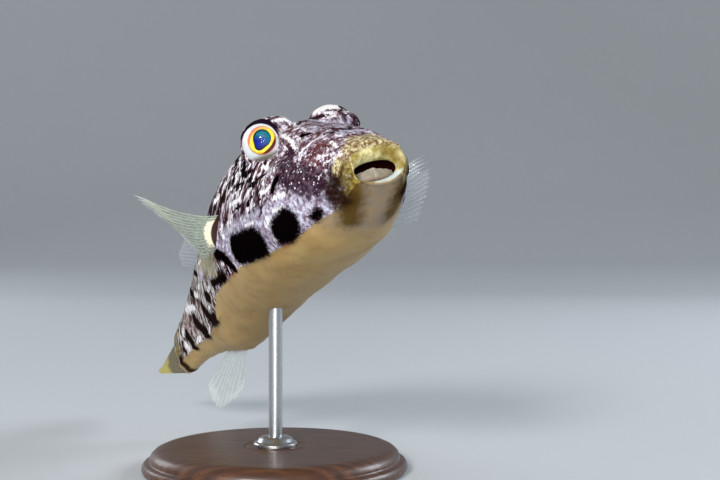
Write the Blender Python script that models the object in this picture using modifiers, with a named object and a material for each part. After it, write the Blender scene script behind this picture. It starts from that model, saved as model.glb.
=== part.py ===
"""A life-size pufferfish swimming nose up on a museum stand, modelled as separate named pieces.

The fish is built in its own axes (x towards the snout, y to its left, z up its back) with the lips at
the origin, and a parent empty banks it over the stand. Fractions are of the body length, which runs
from the lips to the root of the tail fin. World units are metres, +Z up, and the world's origin is the
centre of the stand's underside.
"""

import math

import bmesh
import bpy
import numpy as np
from mathutils import Euler, Matrix, Vector

# ---------------------------------------------------------------- driving dimensions
BODY = 0.120                # lips to the root of the tail fin
GAP = 0.0003                # clearance between touching pieces
FIN_THICKNESS = 0.0006      # the plate of each fin
NECK = 0.36                 # cut between head and trunk, at the gill opening
RUMP = 0.78                 # cut between trunk and tail, behind the anal fin
TAIL_END = 1.012            # rear face of the tail's stem
TAIL_ROUNDING = 0.0003      # how far that face's edge is drawn in
SQUARENESS = 2.25           # exponent of the body's cross sections, 2 being an ellipse

# How the fish hangs over the stand
SNOUT_HEIGHT = 0.060
HEADING = math.radians(-66.3)
NOSE_UP = math.radians(15.6)
ROLL = math.radians(9.4)
BALANCE = 0.43              # place along the body that stands over the rod

# The swimming bend of the spine: it starts behind the shoulder and ends at the tail's root
BEND_START = 0.38
TAIL_SIDE = math.radians(-7.8)
TAIL_SIDE_TIP = math.radians(3.4)
TAIL_DROP = math.radians(-15.8)
TAIL_DROP_TIP = math.radians(3.1)

# Body profile: place, height over the spine, depth under it, half width
PROFILE = (
    (0.00, 0.031, 0.036, 0.044),    # lips
    (0.05, 0.064, 0.064, 0.069),    # snout
    (0.12, 0.100, 0.085, 0.093),    # cheeks
    (0.22, 0.136, 0.094, 0.109),    # eyes
    (0.34, 0.156, 0.099, 0.110),    # gill openings
    (0.46, 0.151, 0.107, 0.101),    # pectoral fins
    (0.58, 0.125, 0.119, 0.083),
    (0.68, 0.100, 0.123, 0.066),    # vent and front of the dorsal fin
    (0.78, 0.073, 0.093, 0.048),    # rear of the anal fin
    (0.88, 0.053, 0.064, 0.034),
    (1.00, 0.044, 0.048, 0.020),    # root of the tail fin
)

# Mouth: the opening between the lips, and the pocket behind it
MOUTH_HALF_WIDTH = 0.034
MOUTH_HALF_HEIGHT = 0.014
MOUTH_DROP = 0.012          # how far its middle lies under the spine
MOUTH_DEPTH = 0.050
LIP_BULGE = 0.010
BEAK_HALF_WIDTH = 0.029
BEAK_PLACE = 0.014
BEAK_FOOT = -0.027
BEAK_HEIGHT = 0.0185
BEAK_PEAK = 0.002
BEAK_THICKNESS = 0.006

# Eyes: the mounds of the head that carry them, the balls, and the way they face
ORBIT_PLACE = 0.221
ORBIT_OUT = 0.055
ORBIT_UP = 0.114
ORBIT_RADIUS = 0.043
ORBIT_BLEND = 0.010
EYE_RADIUS = 0.036
EYE_SEAT = 0.0118           # from the middle of the mound out to the middle of the ball
EYE_FORWARD = 0.71
EYE_OUTWARD = 0.68
EYE_UPWARD = -0.17

# Fins. A hinge is the front, middle and rear of a fin's base as place, left and up; tips are the
# vectors from there to the fin's edge in the fish's own axes; a stem leads from the hinge into the body.
PECTORAL_HINGE = ((0.385, 0.116, 0.055), (0.405, 0.121, 0.032), (0.428, 0.118, 0.004))
PECTORAL_STEM = (0, -0.028, 0)
PECTORAL_ROOT = 0.0024      # thickness of the fleshy root
PECTORAL_RAYS = 15
PECTORAL_FREE_RAYS = 4      # leading rays that stand past the web
PECTORAL_SAG = 0.010
RIGHT_TIPS = ((-0.110, -0.092, 0.088), (-0.108, -0.034, 0.057), (-0.068, 0.005, 0.020))
LEFT_TIPS = ((0.098, 0.138, 0.026), (0.102, 0.136, 0.004), (0.075, 0.125, -0.020))
DORSAL_PLACES = (0.680, 0.720, 0.765)
DORSAL_TIPS = ((-0.125, -0.020, 0.045), (-0.120, -0.026, 0.046), (-0.090, -0.020, 0.035))
DORSAL_STEM = (-0.012, 0, -0.022)
DORSAL_RAYS = 10
ANAL_PLACES = (0.695, 0.740, 0.790)
ANAL_TIPS = ((-0.071, -0.002, -0.068), (-0.118, -0.028, -0.094), (-0.092, -0.025, -0.048))
ANAL_STEM = (-0.008, 0, 0.022)
ANAL_RAYS = 9
TAIL_HINGE = ((1.008, 0, 0.037), (1.014, 0, 0), (1.008, 0, -0.041))
TAIL_TIPS = ((-0.165, 0, -0.031), (-0.178, -0.008, 0), (-0.168, -0.012, 0.030))
TAIL_STEM = (-0.020, 0, 0)
TAIL_RAYS = 10
TAIL_ROOT = 0.0030
MEDIAN_ROOT = 0.0018
WEB_NOTCH = 0.035           # how far the web ends short of the rays, as a share of their length
FREE_NOTCH = 0.17

# Stand
BASE_RADIUS = 0.027
BASE_HEIGHT = 0.005
BASE_BEVEL = 0.001
ROD_RADIUS = 0.0014
ROD_IN_BELLY = 0.008
ROD_IN_BASE = 0.003
COLLAR_RADIUS = 0.0045
COLLAR_HEIGHT = 0.002

# Fineness of the solids
RINGS_PER_BODY = 42         # cross sections along a whole body length
HEAD_POINTS = 40            # points round a cross section
TRUNK_POINTS = 28
TAIL_POINTS = 24


# ---------------------------------------------------------------- curves of the body
def profile_at(place, column):
    """One column of PROFILE at any place along the body, as a smooth curve through its rows."""
    rows = np.array(PROFILE)
    x, y = rows[:, 0], rows[:, column]
    slope = np.gradient(y, x)
    i = int(np.clip(np.searchsorted(x, place) - 1, 0, len(x) - 2))
    h = x[i + 1] - x[i]
    t = (place - x[i]) / h
    return ((2 * t**3 - 3 * t**2 + 1) * y[i] + (t**3 - 2 * t**2 + t) * h * slope[i]
            + (3 * t**2 - 2 * t**3) * y[i + 1] + (t**3 - t**2) * h * slope[i + 1])


def ease(t):
    """0 to 1 with level ends."""
    t = min(max(t, 0.0), 1.0)
    return t * t * (3 - 2 * t)


def spine_turn(place):
    """Sideways and downward turn of the spine at a place along the body."""
    along = ease((place - BEND_START) / (1 - BEND_START))
    tip = ease((place - 0.78) / 0.30)
    return TAIL_SIDE * along + TAIL_SIDE_TIP * tip, TAIL_DROP * along + TAIL_DROP_TIP * tip


def spine_axes(place):
    """Unit vectors along the body towards the tail, to its left and up, at a place on the spine."""
    side, drop = spine_turn(place)
    back = Vector((-math.cos(side) * math.cos(drop), math.sin(side) * math.cos(drop), math.sin(drop)))
    left = Vector((math.sin(side), math.cos(side), 0))
    return back, left, left.cross(back)


def spine_point(place, steps=48):
    """Point of the spine, summed from the lips in short steps."""
    point = Vector((0, 0, 0))
    step = place / steps
    for i in range(steps):
        point += spine_axes((i + 0.5) * step)[0] * step * BODY
    return point


def on_body(place, out, up):
    """Point at a place along the body, offset from the spine in body lengths to the left and up."""
    left, above = spine_axes(place)[1:]
    return spine_point(place) + (left * out + above * up) * BODY


def rounded(angle):
    """Unit cross section: sideways and upward share at an angle from the left side."""
    power = 2 / SQUARENESS
    c, s = math.cos(angle), math.sin(angle)
    return math.copysign(abs(c)**power, c), math.copysign(abs(s)**power, s)


def orbit_reach(place, across, up):
    """How far the eye mounds stand out along a ray from the spine, in body lengths, or 0."""
    length = math.hypot(across, up)
    direction = Vector((0, across / length, up / length))
    best = 0.0
    for side in (-1, 1):
        centre = Vector((ORBIT_PLACE - place, side * ORBIT_OUT, ORBIT_UP))
        middle = centre.dot(direction)
        inside = middle**2 - centre.length_squared + ORBIT_RADIUS**2
        if inside > 0 and middle > 0:
            best = max(best, middle + math.sqrt(inside))
    return best


def soft_max(a, b, blend):
    """The larger of two lengths, rounded where they meet."""
    near = max(blend - abs(a - b), 0) / blend
    return max(a, b) + near * near * blend / 4


def body_ring(place, points=TRUNK_POINTS, grow=0.0, orbits=False):
    """Points of one cross section, grown outwards by a distance in metres, with or without eye mounds."""
    top, bottom, half_width = (profile_at(place, column) for column in (1, 2, 3))
    ring = []
    for k in range(points):
        y, z = rounded(2 * math.pi * k / points)
        across, up = half_width * y, (top if z > 0 else bottom) * z
        if orbits and abs(place - ORBIT_PLACE) < ORBIT_RADIUS and z > 0:
            reach = math.hypot(across, up)
            wide = soft_max(reach, orbit_reach(place, across, up), ORBIT_BLEND) / reach
            across, up = across * wide, up * wide
        share = 1 + grow / BODY / math.hypot(across, up)
        ring.append(on_body(place, across * share, up * share))
    return ring


def lip_ring(turn):
    """A ring of the rolled lips, from the mouth's edge (turn 0) round the front to the snout (1)."""
    share = (1 - math.cos(math.pi * turn)) / 2
    forward = LIP_BULGE * math.sin(math.pi * turn)
    ring = []
    for k in range(HEAD_POINTS):
        y, z = rounded(2 * math.pi * k / HEAD_POINTS)
        outer = profile_at(0, 1) if z > 0 else profile_at(0, 2)
        across = (MOUTH_HALF_WIDTH + share * (profile_at(0, 3) - MOUTH_HALF_WIDTH)) * y
        up = (MOUTH_HALF_HEIGHT + share * (outer - MOUTH_HALF_HEIGHT)) * z - (1 - share) * MOUTH_DROP
        ring.append(on_body(0.008 * (1 - share) - forward, across, up))
    return ring


# ---------------------------------------------------------------- scene helpers
def collection(name):
    """A new collection linked to the scene."""
    made = bpy.data.collections.new(name)
    bpy.context.scene.collection.children.link(made)
    return made


def material(name, colour, roughness, metallic=0.0):
    """A plain Principled material."""
    made = bpy.data.materials.new(name)
    made.use_nodes = True
    shader = made.node_tree.nodes["Principled BSDF"]
    shader.inputs["Base Color"].default_value = (*colour, 1)
    shader.inputs["Roughness"].default_value = roughness
    shader.inputs["Metallic"].default_value = metallic
    return made


def add_object(name, mesh, home, finish=None, parent=None):
    """Link a mesh as an object, with a finish and a parent."""
    made = bpy.data.objects.new(name, mesh)
    home.objects.link(made)
    made.parent = parent
    if finish:
        mesh.materials.append(finish)
        mesh.shade_smooth()
    else:
        made.hide_render = True
        made.display_type = 'WIRE'
    return made


def loft(name, rings):
    """Closed mesh through rings of equal length, each end closed by a fan about its middle."""
    bm = bmesh.new()
    loops = [[bm.verts.new(point) for point in ring] for ring in rings]
    for front, rear in zip(loops, loops[1:]):
        for k, vert in enumerate(front):
            after = (k + 1) % len(front)
            bm.faces.new((vert, rear[k], rear[after], front[after]))
    for loop in (loops[0], loops[-1]):
        middle = bm.verts.new(sum((vert.co for vert in loop), Vector()) / len(loop))
        for k, vert in enumerate(loop):
            bm.faces.new((vert, loop[(k + 1) % len(loop)], middle))
    bmesh.ops.recalc_face_normals(bm, faces=bm.faces)
    mesh = bpy.data.meshes.new(name)
    bm.to_mesh(mesh)
    bm.free()
    return mesh


def cut(target, *cutters):
    """Take cutters out of a target with the exact solver."""
    for cutter in cutters:
        modifier = target.modifiers.new(cutter.name, 'BOOLEAN')
        modifier.object = cutter
        modifier.operation = 'DIFFERENCE'
        modifier.solver = 'EXACT'


def round_mesh(name, radius, height, segments=24, bevel=0.0):
    """Upright cylinder standing on z = 0, its rims bevelled."""
    bm = bmesh.new()
    bmesh.ops.create_cone(bm, cap_ends=True, segments=segments, radius1=radius, radius2=radius,
                          depth=height, matrix=Matrix.Translation((0, 0, height / 2)))
    if bevel:
        rims = [edge for edge in bm.edges if abs(edge.verts[0].co.z - edge.verts[1].co.z) < height / 2]
        bmesh.ops.bevel(bm, geom=rims, offset=bevel, segments=2, affect='EDGES', profile=0.5)
    mesh = bpy.data.meshes.new(name)
    bm.to_mesh(mesh)
    bm.free()
    return mesh


def ball_mesh(name, radius, segments=18, rings=12):
    """A sphere about the origin."""
    bm = bmesh.new()
    bmesh.ops.create_uvsphere(bm, u_segments=segments, v_segments=rings, radius=radius)
    mesh = bpy.data.meshes.new(name)
    bm.to_mesh(mesh)
    bm.free()
    return mesh


def places(start, end, finer=1):
    """Evenly spaced places along a stretch of the body, at the usual spacing or a finer one."""
    count = max(2, round((end - start) * RINGS_PER_BODY * finer))
    return [start + (end - start) * i / count for i in range(count + 1)]


# ---------------------------------------------------------------- flesh
def make_head(home, finish, pose, sockets):
    """Head, from the gill openings to the lips, hollowed for the mouth and the eyes."""
    pocket = []
    for depth, wide, high in ((MOUTH_DEPTH, 0.034, 0.018), (0.6 * MOUTH_DEPTH, 0.040, 0.024),
                              (0.25 * MOUTH_DEPTH, 0.041, 0.024)):
        sections = (rounded(2 * math.pi * k / HEAD_POINTS) for k in range(HEAD_POINTS))
        pocket.append([on_body(depth, wide * y, high * z - MOUTH_DROP) for y, z in sections])
    lips = [lip_ring(turn) for turn in (0, 0.25, 0.5, 0.75, 1)]
    stations = [0.012, 0.028] + places(0.045, ORBIT_PLACE - ORBIT_RADIUS)
    stations += places(ORBIT_PLACE - ORBIT_RADIUS, ORBIT_PLACE + ORBIT_RADIUS, finer=2)[1:]
    stations += places(ORBIT_PLACE + ORBIT_RADIUS, NECK)[1:]
    flesh = [body_ring(place, HEAD_POINTS, orbits=True) for place in stations]
    head = add_object("head", loft("head", pocket + lips + flesh), home, finish, pose)
    cut(head, *sockets)


def make_trunk(home, finish, pose, socket):
    """Trunk, from the gill openings to behind the anal fin, bored for the rod."""
    rings = [body_ring(place) for place in places(NECK + GAP / BODY, RUMP)]
    cut(add_object("trunk", loft("trunk", rings), home, finish, pose), socket)


def make_tail(home, finish, pose):
    """Tail stem, rounded off inside the root of the tail fin."""
    rings = [body_ring(place, TAIL_POINTS) for place in places(RUMP + GAP / BODY, 1.0)]
    rings.append(body_ring(TAIL_END, TAIL_POINTS, grow=-TAIL_ROUNDING))
    add_object("tail", loft("tail", rings), home, finish, pose)


# ---------------------------------------------------------------- eyes and teeth
def gaze(side):
    """Unit vector out of the eye on one side, in the fish's axes."""
    return Vector((EYE_FORWARD, side * EYE_OUTWARD, EYE_UPWARD)).normalized()


def eye_centre(side):
    """Centre of an eyeball in the fish's axes."""
    return on_body(ORBIT_PLACE, side * ORBIT_OUT, ORBIT_UP) + gaze(side) * EYE_SEAT * BODY


def make_eye(name, side, home, finish, pose):
    """An eyeball, turned so that its pole looks out of the orbit."""
    eye = add_object(name, ball_mesh(name, EYE_RADIUS * BODY), home, finish, pose)
    eye.location = eye_centre(side)
    eye.rotation_euler = gaze(side).to_track_quat('Z', 'Y').to_euler()


def make_beak(home, finish, pose):
    """The lower tooth plate, a low curved wall with a small point at its middle."""
    rings = []
    for step in range(-6, 7):
        share = step / 6
        place = BEAK_PLACE + 0.006 * share**2
        peak = BEAK_PEAK * max(0, 1 - 4 * abs(share))
        high = BEAK_FOOT + BEAK_HEIGHT * (1 - 0.27 * share**2) + peak
        rings.append([on_body(place + depth, BEAK_HALF_WIDTH * share, up)
                      for depth, up in ((0, BEAK_FOOT), (0, high - 0.001), (0.001, high),
                                        (BEAK_THICKNESS, high), (BEAK_THICKNESS, BEAK_FOOT))])
    add_object("beak_lower", loft("beak_lower", rings), home, finish, pose)


# ---------------------------------------------------------------- fins
def between(three, v):
    """Smooth curve through three vectors, at v from 0 to 1."""
    first, middle, last = (Vector(point) for point in three)
    return (first * (2 * v - 1) * (v - 1) + middle * 4 * v * (1 - v) + last * v * (2 * v - 1))


def fin_plate(name, hinge, tips, stem, rays, free=0, sag=0.0):
    """Open sheet of a fin: rays from the hinge to the tips with web between, bowed down by sag."""
    along = 5
    bm = bmesh.new()
    grid = []
    for j in range(2 * rays - 1):
        v = j / (2 * rays - 2)
        at_hinge = between(hinge, v)
        base, inner = on_body(*at_hinge), on_body(*(at_hinge + Vector(stem)))
        notch = 0.0 if j % 2 == 0 else FREE_NOTCH if j < 2 * free else WEB_NOTCH
        tip = between(tips, v) * BODY * (1 - notch)
        bow = Vector((0, 0, -4 * sag * BODY))
        steps = [i / along for i in range(along + 1)]
        column = [inner] + [base + tip * u + bow * u * (1 - u) for u in steps]
        grid.append([bm.verts.new(point) for point in column])
    for left, right in zip(grid, grid[1:]):
        for i in range(along + 1):
            bm.faces.new((left[i], left[i + 1], right[i + 1], right[i]))
    mesh = bpy.data.meshes.new(name)
    bm.to_mesh(mesh)
    bm.free()
    return mesh, along + 2


def make_fin(name, sheet, root, body, home, finish, pose):
    """A fin: its sheet made solid, thickest at the fleshy root, and trimmed to the body."""
    mesh, rows = sheet
    fin = add_object(name, mesh, home, finish, pose)
    fleshy = fin.vertex_groups.new(name="fleshy")
    for index in range(len(mesh.vertices)):
        fleshy.add([index], max(0, 1 - index % rows / 3)**2, 'REPLACE')
    plate = fin.modifiers.new("plate", 'SOLIDIFY')
    plate.thickness = root
    plate.offset = 0
    plate.vertex_group = fleshy.name
    plate.thickness_vertex_group = FIN_THICKNESS / root
    cut(fin, body)


def make_fins(body, home, finishes, pose):
    """Both pectoral fins in mid stroke, the dorsal and anal fins swept back, and the closed tail fin."""
    for name, side, tips in (("pectoral_fin_right", -1, RIGHT_TIPS), ("pectoral_fin_left", 1, LEFT_TIPS)):
        hinge = [(place, side * out, up) for place, out, up in PECTORAL_HINGE]
        stem = [side * share for share in PECTORAL_STEM]
        sheet = fin_plate(name, hinge, tips, stem, PECTORAL_RAYS, PECTORAL_FREE_RAYS, PECTORAL_SAG)
        make_fin(name, sheet, PECTORAL_ROOT, body, home, finishes["pectoral"], pose)
    hinge = [(place, 0, profile_at(place, 1)) for place in DORSAL_PLACES]
    sheet = fin_plate("dorsal_fin", hinge, DORSAL_TIPS, DORSAL_STEM, DORSAL_RAYS)
    make_fin("dorsal_fin", sheet, MEDIAN_ROOT, body, home, finishes["fin"], pose)
    hinge = [(place, 0, -profile_at(place, 2)) for place in ANAL_PLACES]
    sheet = fin_plate("anal_fin", hinge, ANAL_TIPS, ANAL_STEM, ANAL_RAYS)
    make_fin("anal_fin", sheet, MEDIAN_ROOT, body, home, finishes["fin"], pose)
    sheet = fin_plate("caudal_fin", TAIL_HINGE, TAIL_TIPS, TAIL_STEM, TAIL_RAYS)
    make_fin("caudal_fin", sheet, TAIL_ROOT, body, home, finishes["tail_fin"], pose)


# ---------------------------------------------------------------- stand
def make_stand(home, finishes, pose, socket):
    """Round base, a rod up into the belly, and a collar round the rod's foot."""
    base = add_object("stand_base", round_mesh("stand_base", BASE_RADIUS, BASE_HEIGHT, 40, BASE_BEVEL),
                      home, finishes["base"])
    hole = add_object("rod_hole", round_mesh("rod_hole", ROD_RADIUS + GAP, BASE_HEIGHT), socket)
    hole.location.z = BASE_HEIGHT - ROD_IN_BASE
    cut(base, hole)
    foot = BASE_HEIGHT - ROD_IN_BASE + GAP
    rod = add_object("stand_rod", round_mesh("stand_rod", ROD_RADIUS, rod_top(pose) - foot, 16, 0.0003),
                     home, finishes["metal"])
    rod.location.z = foot
    collar = add_object("stand_collar", round_mesh("stand_collar", COLLAR_RADIUS, COLLAR_HEIGHT, 20,
                                                   0.0005), home, finishes["metal"])
    collar.location.z = BASE_HEIGHT + GAP
    bore = add_object("collar_bore", round_mesh("collar_bore", ROD_RADIUS + GAP, 0.012), socket)
    cut(collar, bore)


def belly_height(pose):
    """Height of the belly over the rod's axis."""
    lowest = min(((pose @ point) for place in (BALANCE - 0.02, BALANCE, BALANCE + 0.02)
                  for point in body_ring(place)), key=lambda point: point.z)
    return lowest.z


def rod_top(pose):
    """Height of the rod's upper end, inside the belly."""
    return belly_height(pose) + ROD_IN_BELLY


def main():
    for old in list(bpy.data.objects):
        bpy.data.objects.remove(old)
    parts, cutters = collection("pufferfish"), collection("cutters")
    turn = Euler((ROLL, -NOSE_UP, HEADING)).to_matrix().to_4x4()
    over_rod = turn @ spine_point(BALANCE)
    snout = Vector((-over_rod.x, -over_rod.y, SNOUT_HEIGHT))
    pose = Matrix.Translation(snout) @ turn
    swim = bpy.data.objects.new("swim_pose", None)
    swim.location, swim.rotation_euler = snout, (ROLL, -NOSE_UP, HEADING)
    bpy.context.scene.collection.objects.link(swim)

    skin = material("mottled_skin", (0.30, 0.24, 0.20), 0.45)
    eye = material("eye", (0.75, 0.62, 0.20), 0.15)
    finishes = {
        "pectoral": material("pectoral_web", (0.62, 0.62, 0.38), 0.4),
        "fin": material("clear_web", (0.55, 0.58, 0.55), 0.4),
        "tail_fin": material("olive_web", (0.40, 0.34, 0.10), 0.45),
        "base": material("walnut", (0.14, 0.08, 0.05), 0.4),
        "metal": material("steel", (0.60, 0.60, 0.60), 0.3, 1.0),
    }
    whole = [body_ring(place, grow=GAP) for place in places(0.02, 1.0)]
    whole.append(body_ring(TAIL_END + GAP / BODY, grow=GAP - TAIL_ROUNDING))
    body = add_object("body_room", loft("body_room", whole), cutters, parent=swim)
    sockets = []
    for side in (-1, 1):
        room = add_object("eye_room", ball_mesh("eye_room", EYE_RADIUS * BODY + GAP), cutters, parent=swim)
        room.location = eye_centre(side)
        sockets.append(room)
    socket_mesh = round_mesh("rod_room", ROD_RADIUS + GAP, rod_top(pose) + GAP)
    rod_room = add_object("rod_room", socket_mesh, cutters)

    make_head(parts, skin, swim, sockets)
    make_trunk(parts, skin, swim, rod_room)
    make_tail(parts, skin, swim)
    make_eye("eye_right", -1, parts, eye, swim)
    make_eye("eye_left", 1, parts, eye, swim)
    make_beak(parts, material("tooth", (0.62, 0.58, 0.50), 0.35), swim)
    make_fins(body, parts, finishes, swim)
    make_stand(parts, finishes, pose, cutters)


main()
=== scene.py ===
"""Looks of a life-size pufferfish on a museum stand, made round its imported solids.

The fish is worked out in its own axes (x to the snout, y to its left, z up its back, lips at the
origin) and then turned into the frame's axes over the stand. A place on its skin is a pair: run, the
distance from the lips in body lengths, which is negative inside the lips, and around, the angle in
degrees from the middle of the back, positive down the fish's right side.
"""

import logging
import math
from dataclasses import dataclass, field
from enum import Enum

import bmesh
import bpy
import numpy as np
from mathutils import Euler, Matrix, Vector

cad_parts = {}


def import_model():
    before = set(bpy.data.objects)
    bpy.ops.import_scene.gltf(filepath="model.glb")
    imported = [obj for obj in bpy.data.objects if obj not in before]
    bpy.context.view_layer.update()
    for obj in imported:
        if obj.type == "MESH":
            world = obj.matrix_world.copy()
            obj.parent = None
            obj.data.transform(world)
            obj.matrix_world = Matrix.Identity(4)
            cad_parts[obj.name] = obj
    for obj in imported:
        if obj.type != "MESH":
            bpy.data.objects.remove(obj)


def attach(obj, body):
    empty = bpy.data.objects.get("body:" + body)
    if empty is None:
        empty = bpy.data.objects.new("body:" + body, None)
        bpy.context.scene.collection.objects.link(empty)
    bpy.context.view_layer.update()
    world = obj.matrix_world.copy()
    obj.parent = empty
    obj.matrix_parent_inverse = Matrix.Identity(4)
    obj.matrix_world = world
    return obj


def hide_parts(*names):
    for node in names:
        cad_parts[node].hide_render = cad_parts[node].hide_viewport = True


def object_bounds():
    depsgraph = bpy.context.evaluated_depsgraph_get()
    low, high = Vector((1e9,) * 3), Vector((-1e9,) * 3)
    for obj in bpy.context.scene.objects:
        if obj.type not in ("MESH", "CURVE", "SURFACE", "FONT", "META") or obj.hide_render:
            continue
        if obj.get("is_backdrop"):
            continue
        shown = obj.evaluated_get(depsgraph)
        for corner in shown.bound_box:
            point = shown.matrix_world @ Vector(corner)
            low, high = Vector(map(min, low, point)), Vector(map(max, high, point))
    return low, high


LOG = logging.getLogger("pufferfish")
MM = 0.001

Array = np.ndarray
Colour = tuple[float, float, float]
Path = tuple[tuple[float, float], ...]
Triple = tuple[float, float, float]


class Side(Enum):
    """The two sides of the fish, as the sign of its left-hand axis."""

    RIGHT = -1
    LEFT = 1


RIGHT, LEFT = Side.RIGHT, Side.LEFT


class Mark(Enum):
    """The kinds of marking on the skin, each stored as a field that is 0.5 on the mark's edge."""

    DARK = "mark_dark"
    BROWN = "mark_brown"
    PALE = "mark_pale"
    LILAC = "mark_lilac"
    RUST = "mark_rust"
    PLUM = "mark_plum"
    MUSTARD = "mark_mustard"
    STREAK = "mark_streak"
    CAP = "mark_cap"
    SMOOTH = "mark_smooth"
    OLIVE = "mark_olive"
    SAND = "mark_sand"
    BELLY = "mark_belly"
    CHIN = "mark_chin"
    LIP = "mark_lip"
    LIP_COOL = "mark_lip_cool"
    GUM = "mark_gum"
    RIM = "mark_rim"


# ---------------------------------------------------------------- small sums
def ease(share: Array | float) -> Array:
    """0 to 1 with level ends."""
    held = np.clip(share, 0.0, 1.0)
    return held * held * (3 - 2 * held)


def bell(distance: Array | float, width: float) -> Array:
    """A smooth hump, 1 in its middle and about a third of that at width."""
    return np.exp(-((distance / width) ** 2))


def unit(vectors: Array) -> Array:
    """The same vectors at length 1."""
    return vectors / np.maximum(np.linalg.norm(vectors, axis=-1, keepdims=True), 1e-12)


def clock_gap(clock: Array, middle: float) -> Array:
    """How far clock angles are from one of them, in degrees, 0 to 180."""
    return np.abs((clock - middle + 180) % 360 - 180)


def tint(red: int, green: int, blue: int) -> Colour:
    """A linear colour from display values of 0 to 255."""
    return tuple(((v / 255 + 0.055) / 1.055) ** 2.4 if v > 10 else v / 255 / 12.92
                 for v in (red, green, blue))


def ripple(points: Array, pitch: float, seed: int, waves: int = 14) -> Array:
    """Smooth irregular rise and fall over points in space.

    Args:
        points: positions, shape (..., 3).
        pitch: usual length of a wave, in the points' unit.
        seed: picks the waves.
        waves: how many are summed.

    Returns:
        Values of about -1 to 1, shape (...).
    """
    dice = np.random.default_rng(seed)
    total = np.zeros(points.shape[:-1])
    for _ in range(waves):
        direction = unit(dice.normal(size=3)) * 2 * math.pi / (pitch * dice.uniform(0.6, 1.6))
        total += np.sin(points @ direction + dice.uniform(0, 2 * math.pi))
    return total / math.sqrt(waves) / 1.4


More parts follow.
